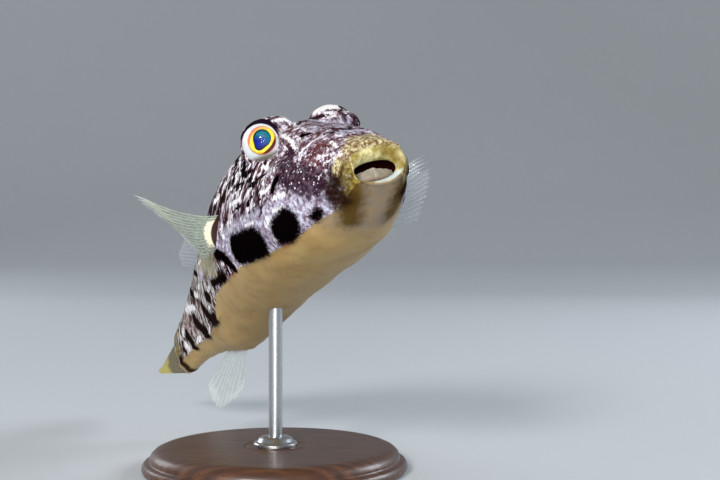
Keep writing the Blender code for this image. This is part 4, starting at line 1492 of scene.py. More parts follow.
@dataclass(frozen=True)
class PaperFinish:
    """The studio's pale paper."""

    colour: Colour = tint(206, 210, 214)

    def build(self) -> bpy.types.Material:
        """Matt paper with a very faint tooth."""
        made, tree = material("studio_paper")
        space = tree.wire(tree.add("ShaderNodeTexCoord", {}), "Object")
        tooth = tree.noise(space, 900.0, 3.0)
        base = tree.mix(tooth * 0.1, self.colour, tint(190, 195, 200))
        tree.surface(Base_Color=base, Roughness=0.8 + tooth * 0.1, Normal=tree.bump(tooth, 50, 0.1))
        return made


# ---------------------------------------------------------------- meshes
def grid_faces(rows: int, columns: int, round_: bool) -> Array:
    """Corner numbers of a grid's quads.

    Args:
        rows: points down the grid.
        columns: points across it.
        round_: whether the last column joins the first.

    Returns:
        One row of four numbers for each quad.
    """
    row = np.arange(rows - 1)[:, None] * columns
    column = np.arange(columns if round_ else columns - 1)[None, :]
    after = (column + 1) % columns
    corners = [row + column, row + after, row + columns + after, row + columns + column]
    return np.stack([c.reshape(-1) for c in corners], 1)


def fan(tip: int, start: int, count: int, ahead: bool) -> list[list[int]]:
    """Triangles from a tip to a closed ring of points.

    Args:
        tip: number of the tip.
        start: number of the ring's first point.
        count: points in the ring.
        ahead: whether each triangle runs round the ring forwards.

    Returns:
        Three corner numbers for each triangle.
    """
    pairs = [(start + i, start + (i + 1) % count) for i in range(count)]
    return [[tip, *(pair if ahead else pair[::-1])] for pair in pairs]


def make_piece(name: str, points: Array, faces: list[list[int]], finish: bpy.types.Material,
               values: dict[str, Array] | None = None, spots: dict[str, Array] | None = None
               ) -> bpy.types.Object:
    """A smooth mesh object with numbers and vectors on its points.

    Args:
        name: the piece's name.
        points: positions in the frame, shape (n, 3).
        faces: corner numbers of each face.
        finish: its material.
        values: numbers by name.
        spots: vectors by name.

    Returns:
        The object, in the scene.
    """
    mesh = bpy.data.meshes.new(name)
    mesh.from_pydata(points.tolist(), [], faces)
    for label, numbers in (values or {}).items():
        layer = mesh.attributes.new(label, "FLOAT", "POINT")
        layer.data.foreach_set("value", np.ascontiguousarray(numbers, np.float32).reshape(-1))
    for label, vectors in (spots or {}).items():
        layer = mesh.attributes.new(label, "FLOAT_VECTOR", "POINT")
        layer.data.foreach_set("vector", np.ascontiguousarray(vectors, np.float32).reshape(-1))
    mesh.polygons.foreach_set("use_smooth", [True] * len(mesh.polygons))
    mesh.materials.append(finish)
    mesh.update()
    piece = bpy.data.objects.new(name, mesh)
    bpy.context.scene.collection.objects.link(piece)
    return piece


def face_outward(piece: bpy.types.Object) -> None:
    """Turn every face of a closed mesh to look outwards."""
    work = bmesh.new()
    work.from_mesh(piece.data)
    bmesh.ops.recalc_face_normals(work, faces=work.faces)
    work.to_mesh(piece.data)
    work.free()


def turned(name: str, profile: tuple[tuple[float, float], ...], finish: bpy.types.Material,
           sides: int = 128) -> bpy.types.Object:
    """A solid turned round the upright axis from (radius, height) points in millimetres.

    Args:
        name: the piece's name.
        profile: points from the bottom of the axis to the top of it.
        finish: its material.
        sides: how many sides it has.

    Returns:
        The object, in the scene.
    """
    turn = np.arange(sides) / sides * 2 * math.pi
    middle = profile[1:-1]
    rings = [np.stack([r * np.cos(turn), r * np.sin(turn), np.full(sides, z)], 1) for r, z in middle]
    points = np.concatenate(rings + [[[0, 0, profile[0][1]]], [[0, 0, profile[-1][1]]]]) * MM
    faces = grid_faces(len(middle), sides, True).tolist()
    low = len(middle) * sides
    faces += fan(low, 0, sides, False) + fan(low + 1, low - sides, sides, True)
    piece = make_piece(name, points, faces, finish)
    face_outward(piece)
    return piece


def softened(piece: bpy.types.Object, width: float) -> None:
    """Round a turned piece's edges a little."""
    edge = piece.modifiers.new("edge", "BEVEL")
    edge.width = width
    edge.segments = 3
    edge.limit_method = "ANGLE"
    edge.angle_limit = math.radians(28)
    edge.harden_normals = True
    piece.modifiers.new("normals", "WEIGHTED_NORMAL")


def hold(piece: bpy.types.Object, slot: str, *nodes: str) -> bpy.types.Object:
    """Fix a piece to the model's one body and hide the imported nodes that it stands for."""
    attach(piece, "root")
    if nodes:
        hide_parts(*nodes)
    LOG.info("%s: %d faces", piece.name, len(piece.data.polygons))
    return piece


# ---------------------------------------------------------------- the fish's parts
@dataclass
class Skin:
    """The one skin over head, trunk and tail, from the back of the mouth to the tail's end."""

    shape: BodyShape
    mouth: MouthShape
    pose: SwimPose
    seats: tuple[EyeSeat, ...]
    columns: int = 272
    lip_rings: int = 22
    streak_lean: float = 30.0    # how far the flank's streaks lean back, in degrees
    streak_draw: float = 0.34    # how much they are drawn out: 1 is not at all
    chin_end: float = 0.085      # run at which the chin's colour has half gone
    gum_start: float = -0.0285   # run at which the dark inside of the mouth starts
    pocket_run: float = -0.034   # run of everything behind the mouth's edge
    wrinkle_height: float = 0.045
    wrinkle_pitch: float = 0.0048
    ripples: tuple[tuple[float, int, float], ...] = ((7.0, 11, 0.10), (2.0, 12, 0.03))
    stretches: tuple[Triple, ...] = (         # from, to, and step in millimetres
        (0.000, 0.160, 0.22),
        (0.160, 0.285, 0.18),
        (0.285, 0.420, 0.32),
        (0.420, 0.968, 0.76),
        (0.968, 1.012, 0.30),
    )

    def angles(self) -> Array:
        """Angles of the columns from the middle of the belly round, closest over the eyes."""
        fine = np.linspace(-180, 180, 3601)
        weight = 1 + 1.6 * bell(np.abs(fine) - 32, 20) + 0.5 * bell(np.abs(fine) - 100, 30)
        total = np.concatenate([[0], np.cumsum((weight[1:] + weight[:-1]) / 2)])
        return np.interp(np.arange(self.columns) / self.columns * total[-1], total, fine)

    def runs(self) -> Array:
        """Run of each ring, from the edge of the mouth to the end of the tail."""
        rings = [np.linspace(-self.mouth.run, 0, self.lip_rings + 1)]
        for start, end, step in self.stretches:
            count = round((end - start) * self.shape.length / MM / step)
            rings.append(np.linspace(start, end, count + 1)[1:])
        return np.concatenate(rings)

    def fields(self, chart: SkinChart) -> dict[str, Array]:
        """The marks' fields at each point."""
        run, around = chart.run, np.abs(chart.around)
        edge = np.interp(run, *np.array(BELLY_EDGE).T)
        found = {mark.value: chart.marked(strokes) for mark, strokes in
                 {**sand_and_rust(), **pale_marks(), **dark_marks(), **green_marks()}.items()}
        belly = np.clip(0.5 + (around - edge) / 10, 0, 1) * ease((run + 0.006) / 0.012)
        under_lip = np.clip(0.5 + (around - 134) / 10, 0, 1) * (run < 0.02)
        found[Mark.BELLY.value] = np.maximum(belly, under_lip)
        found[Mark.CHIN.value] = np.clip(0.5 + (self.chin_end - run) / 0.06, 0, 1)
        limit = np.interp(around, (0, 40, 80, 100, 140, 180),
                          (-0.0125, -0.0120, -0.0070, -0.0080, -0.0132, -0.0136))
        found[Mark.LIP.value] = np.clip(0.5 + (limit - run) / 0.007, 0, 1)
        cool = np.where(chart.around > 0, (chart.around - 164) / 14, (-chart.around - 108) / 20)
        within = np.clip(0.5 + (limit - 0.001 - run) / 0.006, 0, 1)
        found[Mark.LIP_COOL.value] = np.clip(cool, 0, 1) * within
        found[Mark.GUM.value] = np.clip(0.5 + (self.gum_start - run) / 0.004, 0, 1)
        return found

    def wrinkles(self, chart: SkinChart) -> Array:
        """Level wrinkles on the front of the eyes' mounds, -1 to 1."""
        place, out, up = self.shape.orbit
        apart = chart.spots - np.array([place - 0.018, 0, up - 0.006])
        apart[:, 1] = np.abs(chart.spots[:, 1]) - out
        near = ease(1.35 - np.linalg.norm(apart, axis=1) / 0.034)
        solid = chart.spots * self.shape.length / MM
        wave = 2 * math.pi * (chart.spots[:, 2] / self.wrinkle_pitch + 0.7 * ripple(solid, 5.0, 13))
        return near * np.sin(wave)

    def relief(self, chart: SkinChart) -> Array:
        """Height of folds, ripples and the wrinkles by the eyes, in metres."""
        solid = chart.spots * self.shape.length / MM
        height = chart.raised(folds()) * self.shape.length
        calm = ease((chart.run + self.mouth.run) / self.mouth.run)
        height += sum(high * ripple(solid, pitch, seed) for pitch, seed, high in self.ripples) * MM * calm
        return height + self.wrinkle_height * MM * self.wrinkles(chart)

    def combed(self, solid: Array) -> Array:
        """Places turned and drawn out so that noise read at them runs in the flank's streaks."""
        lean = math.radians(self.streak_lean)
        along = solid[:, 0] * math.sin(lean) - solid[:, 2] * math.cos(lean)
        over = solid[:, 0] * math.cos(lean) + solid[:, 2] * math.sin(lean)
        return np.stack([over, solid[:, 1], along * self.streak_draw], 1)

    def faces(self, rows: int) -> list[list[int]]:
        """The grid's quads, then fans to the two points that close its ends."""
        tip = rows * self.columns
        return (grid_faces(rows, self.columns, True).tolist() + fan(tip, 0, self.columns, False)
                + fan(tip + 1, tip - self.columns, self.columns, True))

    def build(self, finish: bpy.types.Material) -> bpy.types.Object:
        """Make the skin with its fields and its own unwrap."""
        around = self.angles()
        runs = self.runs()
        pocket = self.mouth.throat(self.shape, around)
        rows = len(pocket) + len(runs)
        run = np.repeat(np.append(np.full(len(pocket), self.pocket_run), runs), self.columns)
        turn = np.tile(around, rows)
        chart = SkinChart(self.shape, self.mouth, run, turn)
        inner = np.concatenate([np.stack(section, -1) for section in pocket])
        chart.spots[:len(inner)] = inner
        grid = self.shape.locate(*chart.spots.T).reshape(rows, self.columns, 3)
        down = np.gradient(grid, axis=0)
        across = np.roll(grid, -1, 1) - np.roll(grid, 1, 1)
        outward = unit(np.cross(down, across))
        points = (grid + outward * self.relief(chart).reshape(rows, self.columns, 1)).reshape(-1, 3)
        values = self.fields(chart)
        rim = np.zeros(len(points))
        for seat in self.seats:
            points = seat.shape_lids(points)
            rim = np.maximum(rim, seat.lid_line(points))
        values[Mark.RIM.value] = rim
        values["skin_run"] = run
        values["skin_wrinkle"] = self.wrinkles(chart) * (chart.spots[:, 1] > 0)
        values["skin_around"] = np.abs(turn) / 180
        solid = chart.spots * self.shape.length / MM
        spots = {"skin_spot": self.combed(solid), "skin_round": solid}
        ends = np.stack([points[:self.columns].mean(0), points[-self.columns:].mean(0)])
        points = np.concatenate([points, ends])
        values, spots = ({name: np.concatenate([v, v[[0, -1]]]) for name, v in named.items()}
                         for named in (values, spots))
        piece = make_piece("skin", self.pose.place(points), self.faces(rows), finish, values, spots)
        self.unwrap(piece, rows)
        face_outward(piece)
        return hold(piece, "mottled_skin", "head", "trunk", "tail")

    def chart_share(self, row: Array, rows: int) -> Array:
        """Height of a ring on the unwrap."""
        return 0.01 + 0.98 * row / (rows - 1)

    def unwrap(self, piece: bpy.types.Object, rows: int) -> None:
        """Lay the skin out flat: columns across, rings up."""
        layer = piece.data.uv_layers.new(name="OFBake")
        corners = np.empty(len(piece.data.loops), np.int64)
        piece.data.loops.foreach_get("vertex_index", corners)
        quads = (rows - 1) * self.columns
        column = corners % self.columns
        row = corners // self.columns
        flat = np.zeros((len(corners), 2))
        block = column[:quads * 4].reshape(-1, 4)
        seam = block.max(1) - block.min(1) > 2
        block = np.where(seam[:, None] & (block == 0), self.columns, block)
        flat[:quads * 4, 0] = block.reshape(-1)
        flat[:quads * 4, 1] = row[:quads * 4]
        fan = np.arange(self.columns)
        for side, (begin, low, high) in enumerate(((quads * 4, -0.9, 0), (quads * 4 + 3 * self.columns,
                                                                         rows - 0.1, rows - 1))):
            left, right = (fan + 1, fan) if side == 0 else (fan, fan + 1)
            flat[begin:begin + 3 * self.columns] = np.stack([
                np.stack([fan + 0.5, np.full(self.columns, low)], 1),
                np.stack([left, np.full(self.columns, high)], 1),
                np.stack([right, np.full(self.columns, high)], 1)], 1).reshape(-1, 2)
        flat[:, 0] = 0.005 + 0.99 * flat[:, 0] / self.columns
        flat[:, 1] = self.chart_share(flat[:, 1], rows)
        layer.data.foreach_set("uv", flat.reshape(-1))


@dataclass
class Eye:
    """One eyeball: globe, sunken iris, pupil with a glow in it, and the clear window in front."""

    seat: EyeSeat
    pose: SwimPose
    iris_angle: float = 37.0
    sides: int = 96
    pupil_middle: tuple[float, float] = (0.04, 0.14)
    pupil_radius: float = 0.63
    tip_middle: tuple[float, float] = (-0.26, -0.30)
    tip_radius: float = 0.34
    iris_sink: float = 0.16      # how deep the iris lies behind the globe, in millimetres
    pupil_sink: float = 0.42     # how deep the pupil's cup is at its edge
    lens_rise: float = 0.26      # how far the lens bulges in that cup
    iris_lip: float = 0.11       # how far the iris slopes in at its edges
    iris_roll: float = 0.17      # and how far it bulges between them
    window_rise: float = 0.34    # how far the clear window stands out
    window_over: float = 3.5     # how far it reaches past the iris, in degrees

    def outline(self, clock: Array) -> Array:
        """Distance from the pupil's middle to its edge, for clock angles in radians."""
        way = np.stack([np.cos(clock), np.sin(clock)], -1)
        best = np.full(len(clock), self.pupil_radius)
        middle, tip = np.array(self.pupil_middle), np.array(self.tip_middle)
        for share in np.linspace(0, 1, 24):
            apart = (tip - middle) * share
            radius = self.pupil_radius + (self.tip_radius - self.pupil_radius) * share
            along = way @ apart
            inside = radius**2 - (apart @ apart - along**2)
            best = np.maximum(best, np.where(inside > 0, along + np.sqrt(np.maximum(inside, 0)), 0))
        return best

    def globe(self, finish: bpy.types.Material, number: str) -> bpy.types.Object:
        """The ball with its iris and pupil."""
        ball, look = self.seat.ball(), self.seat.mirrored(self.seat.look)
        ahead, up = self.seat.frame(look)
        clock = np.arange(self.sides) / self.sides * 2 * math.pi
        way = np.stack([np.cos(clock), np.sin(clock)], -1)
        edge_angle = math.radians(self.iris_angle)
        flat, deep = ball * math.sin(edge_angle), ball * math.cos(edge_angle) - self.iris_sink * MM
        middle = np.array(self.pupil_middle)
        pupil = middle + way * self.outline(clock)[:, None]
        rings, zones = [], []
        for share in (0.04, 0.15, 0.3, 0.45, 0.6, 0.75, 0.88, 0.95, 0.995):
            rings.append((middle + (pupil - middle) * share,
                          deep + (self.lens_rise * (1 - share**2) - self.pupil_sink) * MM))
            zones.append(share)
        for share in (0.0, 0.02, 0.06, 0.12, 0.2, 0.3, 0.4, 0.5, 0.6, 0.7, 0.8, 0.88, 0.95, 0.99):
            rise = self.iris_roll * math.sin(math.pi * share) ** 0.6 - self.iris_lip
            rings.append((pupil + (way - pupil) * share, deep + rise * MM))
            zones.append(1 + share)
        points = [np.stack([*spot.T, np.full(self.sides, high)], 1) for spot, high in rings]
        for degrees in (0.4, 1.2, 3, 6, 10, 15, 20, 26, 32, 38, 46, 60, 80, 100, 120, 138):
            angle = edge_angle + math.radians(degrees)
            wide = way * math.sin(angle) / math.sin(edge_angle)
            points.append(np.stack([*wide.T, np.full(self.sides, ball * math.cos(angle))], 1))
            zones.append(2 + degrees / 60)
        lens = deep + (self.lens_rise - self.pupil_sink) * MM
        flat_points = np.concatenate(points + [[[*middle, lens]], [[0.0, 0.0, -ball]]])
        placed = (self.seat.centre() + look * flat_points[:, 2:]
                  + (ahead * flat_points[:, :1] + up * flat_points[:, 1:2]) * flat)
        zone = np.concatenate([np.repeat(zones, self.sides), [0.0, 5.0]])
        spot = np.concatenate([flat_points[:, :2], np.zeros((len(flat_points), 1))], 1)
        tip = len(zones) * self.sides
        faces = (grid_faces(len(zones), self.sides, True).tolist() + fan(tip, 0, self.sides, True)
                 + fan(tip + 1, tip - self.sides, self.sides, False))
        piece = make_piece(f"eye_globe_{number}", self.pose.place(placed), faces, finish,
                           {"eye_zone": zone}, {"eye_spot": spot})
        face_outward(piece)
        return piece

    def cornea(self, finish: bpy.types.Material, number: str) -> bpy.types.Object:
        """The clear window."""
        ball, look = self.seat.ball(), self.seat.mirrored(self.seat.look)
        ahead, up = self.seat.frame(look)
        clock = np.arange(self.sides) / self.sides * 2 * math.pi
        way = ahead * np.cos(clock)[:, None] + up * np.sin(clock)[:, None]
        end = math.radians(self.iris_angle + self.window_over)
        rows = []
        for share in np.linspace(0.03, 1.0, 16):
            angle = share * end
            reach = ball + (self.window_rise * (1 - share**2.2) - 0.03 * share) * MM
            rows.append(look * math.cos(angle) * reach + way * math.sin(angle) * reach)
        top = look * (ball + self.window_rise * MM)
        placed = self.seat.centre() + np.concatenate(rows + [[top]])
        faces = grid_faces(len(rows), self.sides, True)[:, ::-1].tolist()
        faces += fan(len(placed) - 1, 0, self.sides, True)
        from_ball = (placed - self.seat.centre()) / ball
        spot = np.stack([from_ball @ ahead, from_ball @ up, np.zeros(len(placed))], 1)
        return make_piece(f"eye_cornea_{number}", self.pose.place(placed), faces, finish, {},
                          {"eye_spot": spot})

    def build(self, globe: bpy.types.Material, cornea: bpy.types.Material) -> None:
        """Make both pieces of the eye."""
        number = self.seat.side.name.lower()
        hold(self.globe(globe, number), "eye", f"eye_{number}")
        hold(self.cornea(cornea, number), "eye")


@dataclass
class Beak:
    """The lower tooth plate, with a thin cutting edge and a seam down its middle."""

    shape: BodyShape
    pose: SwimPose
    half_width: float = 0.0335
    place: float = 0.0125
    foot: float = -0.027
    height: float = 0.0205
    peak: float = 0.0020
    thickness: float = 0.0062
    sweep: float = 0.006         # how far the plate's sides lie behind its middle
    swell: float = 0.0012        # how far its face bulges
    seam: float = 0.0010         # depth of the notch where its halves meet
    seam_groove: float = 0.0007  # depth of the seam down its face
    aside: float = 0.0022        # how far it sits to the fish's right
    columns: int = 96
    outline: tuple[tuple[float, float], ...] = (
        (0.20, 0.00), (0.06, 0.20), (0.00, 0.42), (0.00, 0.62), (0.07, 0.80), (0.18, 0.91),
        (0.28, 0.965), (0.38, 0.99), (0.48, 1.00), (0.58, 0.985), (0.68, 0.94), (0.80, 0.82),
        (0.92, 0.58), (1.00, 0.30), (1.00, 0.00))

    def build(self, finish: bpy.types.Material) -> bpy.types.Object:
        """Make the plate."""
        share = np.linspace(-1, 1, self.columns)[:, None]
        depth, high = (np.array(v)[None, :] for v in zip(*self.outline))
        front = (self.place + self.sweep * share**2
                 - self.swell * (1 - share**2) * np.sin(math.pi * high)
                 + self.seam_groove * bell(share, 0.035) * (high < 0.97))
        thick = self.thickness * (1 - 0.45 * share**4)
        crown = self.height * (1 - 0.22 * share**2 + 0.05 * share) + self.peak * bell(share, 0.20)
        crown = crown - self.seam * bell(share, 0.022) + 0.00035 * np.sin(share * 19)
        place = front + thick * depth
        out = self.half_width * share * (1 - 0.05 * high) - self.aside
        up = self.foot + crown * high
        place, out, up = np.broadcast_arrays(place, out, up)
        count = len(self.outline)
        points = self.shape.locate(place.reshape(-1), out.reshape(-1), up.reshape(-1))
        faces = grid_faces(self.columns, count, True).tolist()
        faces += [list(range(count)), list(range((self.columns - 1) * count, self.columns * count))]
        spot = np.stack([out, place, up], -1).reshape(-1, 3) * self.shape.length / MM
        heights = np.broadcast_to(high, out.shape).reshape(-1)
        piece = make_piece("beak_plate", self.pose.place(points), faces, finish,
                           {"beak_height": heights}, {"beak_spot": spot})
        face_outward(piece)
        return hold(piece, "tooth", "beak_lower")


@dataclass(frozen=True)
class FinPlan:
    """Where a fin's first, middle and last rays start and end, in body lengths.

    A hinge is (place, out, up) and a tip is the ray's length in the fish's own axes.
    """

    name: str
    slot: str
    hinge: tuple[Triple, Triple, Triple]
    tips: tuple[Triple, Triple, Triple]
    stem: Triple
    rays: int
    root: float
    free: int = 0
    sag: float = 0.0
    wave: float = 0.0022
    seed: int = 1


@dataclass
class Fin:
    """A fin of branching rays with scalloped web between them, as one thin closed sheet."""

    plan: FinPlan
    shape: BodyShape
    pose: SwimPose
    web_notch: float = 0.040
    free_notch: float = 0.20
    per_ray: int = 12
    rows: int = 40

    @staticmethod
    def between(three: tuple[Triple, Triple, Triple], share: Array) -> Array:
        """A smooth curve through three points, at shares of the way along it."""
        start, middle, end = (np.array(point, float) for point in three)
        t = share[:, None]
        return (start * 2 * (t - 0.5) * (t - 1) + middle * 4 * t * (1 - t) + end * 2 * t * (t - 0.5))

    def sheet(self) -> tuple[Array, Array, Array, Array]:
        """The middle of the fin: its points, and height, ray mask and ray number at each."""
        plan, body = self.plan, self.shape.length
        count = (plan.rays - 1) * self.per_ray + 1
        across = np.linspace(0, 1, count)
        number = across * (plan.rays - 1)
        part = number % 1.0
        hinge, tips = self.between(plan.hinge, across), self.between(plan.tips, across)
        base = self.shape.locate(*hinge.T)
        inner = self.shape.locate(*(hinge + np.array(plan.stem)).T)
        dice = np.random.default_rng(plan.seed)
        uneven = np.interp(number, np.arange(plan.rays), dice.uniform(0.965, 1.0, plan.rays))
        depth = np.where(number < plan.free, self.free_notch, self.web_notch)
        length = uneven * (1 - depth * np.sin(math.pi * part) ** 0.7)
        height = np.concatenate([[-0.14, -0.07], np.linspace(0, 1, self.rows) ** 1.05])
        up = np.maximum(height, 0)[:, None]
        wave = plan.wave * body * np.sin(2 * math.pi * (1.3 * across + 0.55 * up) + plan.seed) * up**1.5
        points = (base + tips[None] * body * (length[:, None] * up[..., None])
                  + np.array([0, 0, -4 * plan.sag * body]) * (up * (1 - up))[..., None])
        points = points + (inner - base)[None] * np.maximum(-height, 0)[:, None, None] / 0.14
        down = np.gradient(points, axis=0)
        over = np.gradient(points, axis=1)
        facing = unit(np.cross(down, over))
        facing[:2] = facing[2]
        split = 0.17 * ease((up - 0.45) / 0.5)
        away = np.minimum(part, 1 - part)[None, :]
        ray = bell(away - split, 0.105 - 0.035 * up)
        return (points + facing * wave[..., None], facing, np.broadcast_to(height[:, None], ray.shape),
                np.stack([ray, np.broadcast_to(number, ray.shape)], -1))

    def build(self, finish: bpy.types.Material) -> bpy.types.Object:
        """Thicken the sheet along its rays and towards its root, and close its edges."""
        points, facing, height, rays = self.sheet()
        up = np.maximum(height, 0)
        thick = (0.045 + (0.125 - 0.075 * up) * rays[..., 0] * (0.25 + 0.75 * ease(up / 0.2))) * MM
        arch = np.sqrt(np.maximum(1 - (2 * rays[..., 1] / (self.plan.rays - 1) - 1) ** 2, 0))
        thick = thick + self.plan.root * self.shape.length * ease(1 - up / 0.22) ** 1.5 * arch
        ends = np.minimum(rays[..., 1], self.plan.rays - 1 - rays[..., 1])
        thick = thick * (0.35 + 0.65 * ease(ends / 0.12)) * (1 - 0.45 * ease((up - 0.96) / 0.04))
        rows, columns = up.shape
        top, bottom = points + facing * thick[..., None], points - facing * thick[..., None]
        shell = np.concatenate([top, bottom[:, ::-1]], axis=1).reshape(-1, 3)
        faces = grid_faces(rows, 2 * columns, True).tolist()
        for start in (0, (rows - 1) * 2 * columns):
            faces += [[start + i, start + i + 1, start + 2 * columns - 2 - i, start + 2 * columns - 1 - i]
                      for i in range(columns - 1)]

        def both(numbers: Array) -> Array:
            """The numbers on the front and then, backwards, on the back."""
            return np.concatenate([numbers, numbers[:, ::-1]], axis=1).reshape(-1)

        spot = np.stack([both(rays[..., 1]), both(height * 9.0), np.zeros(len(shell))], 1)
        piece = make_piece(self.plan.name, self.pose.place(shell), faces, finish,
                           {"fin_height": both(height), "fin_ray": both(rays[..., 0])},
                           {"fin_spot": spot})
        face_outward(piece)
        return hold(piece, self.plan.slot, self.plan.name)


def fin_plans(shape: BodyShape) -> dict[str, FinPlan]:
    """The five fins as they are held in the pose."""
    hinge = ((0.385, 0.116, 0.055), (0.405, 0.121, 0.032), (0.428, 0.118, 0.004))
    right, left = (tuple((p, side.value * o, u) for p, o, u in hinge) for side in Side)
    back = tuple((p, 0.0, float(shape.at(p, 1))) for p in (0.680, 0.720, 0.765))
    below = tuple((p, 0.0, -float(shape.at(p, 2))) for p in (0.695, 0.740, 0.790))
    plans = (
        FinPlan("pectoral_fin_right", "pectoral_web", right,
                ((-0.110, -0.092, 0.088), (-0.108, -0.034, 0.057), (-0.068, 0.005, 0.020)),
                (0, 0.028, 0), 15, 0.0024, free=4, sag=0.010, seed=3),
        FinPlan("pectoral_fin_left", "clear_web", left,
                ((0.098, 0.138, 0.026), (0.102, 0.136, 0.004), (0.075, 0.125, -0.020)),
                (0, -0.028, 0), 15, 0.0024, free=4, sag=0.010, seed=4),
        FinPlan("dorsal_fin", "clear_web", back,
                ((-0.125, -0.020, 0.045), (-0.120, -0.026, 0.046), (-0.090, -0.020, 0.035)),
                (-0.012, 0, -0.022), 10, 0.0018, seed=5),
        FinPlan("anal_fin", "clear_web", below,
                ((-0.071, -0.002, -0.068), (-0.118, -0.028, -0.094), (-0.092, -0.025, -0.048)),
                (-0.008, 0, 0.022), 9, 0.0018, seed=6),
        FinPlan("caudal_fin", "tail_web", ((1.008, 0, 0.037), (1.014, 0, 0), (1.008, 0, -0.041)),
                ((-0.165, 0, -0.031), (-0.178, -0.008, 0), (-0.168, -0.012, 0.030)),
                (-0.020, 0, 0), 10, 0.0030, wave=0.0012, seed=7),
    )
    return {plan.name: plan for plan in plans}


def fin_finishes(effects: Effects) -> dict[str, FinFinish]:
    """The finish of each fin."""
    return {
        "pectoral_fin_right": FinFinish(effects, "pectoral_web", web=tint(132, 150, 136),
                                        ray=tint(206, 210, 188), root=tint(244, 240, 208),
                                        tip=tint(214, 222, 218), clear=0.42, root_end=0.11,
                                        root_middle=6.5, root_half=7.5, root_shade_height=-0.020),
        "pectoral_fin_left": FinFinish(effects, "far_pectoral_web", web=tint(150, 172, 190),
                                       ray=tint(196, 206, 210), root=tint(180, 170, 140),
                                       tip=tint(210, 220, 224), clear=0.05, root_end=0.03,
                                       ray_cover=0.28),
        "dorsal_fin": FinFinish(effects, "dorsal_web", web=tint(140, 160, 184),
                                ray=tint(200, 200, 206), root=tint(130, 108, 104),
                                tip=tint(206, 212, 216), clear=0.06, root_end=0.02,
                                ray_cover=0.30),
        "anal_fin": FinFinish(effects, "anal_web", web=tint(160, 176, 178), ray=tint(214, 218, 208),
                              root=tint(176, 154, 112), tip=tint(214, 222, 222), clear=0.16,
                              root_end=0.03, ray_cover=0.7),
        "caudal_fin": FinFinish(effects, "tail_web", web=tint(82, 68, 14), ray=tint(108, 92, 26),
                                root=tint(58, 44, 24), tip=tint(196, 182, 74), clear=0.90,
                                root_end=0.20, tip_start=0.62),
    }


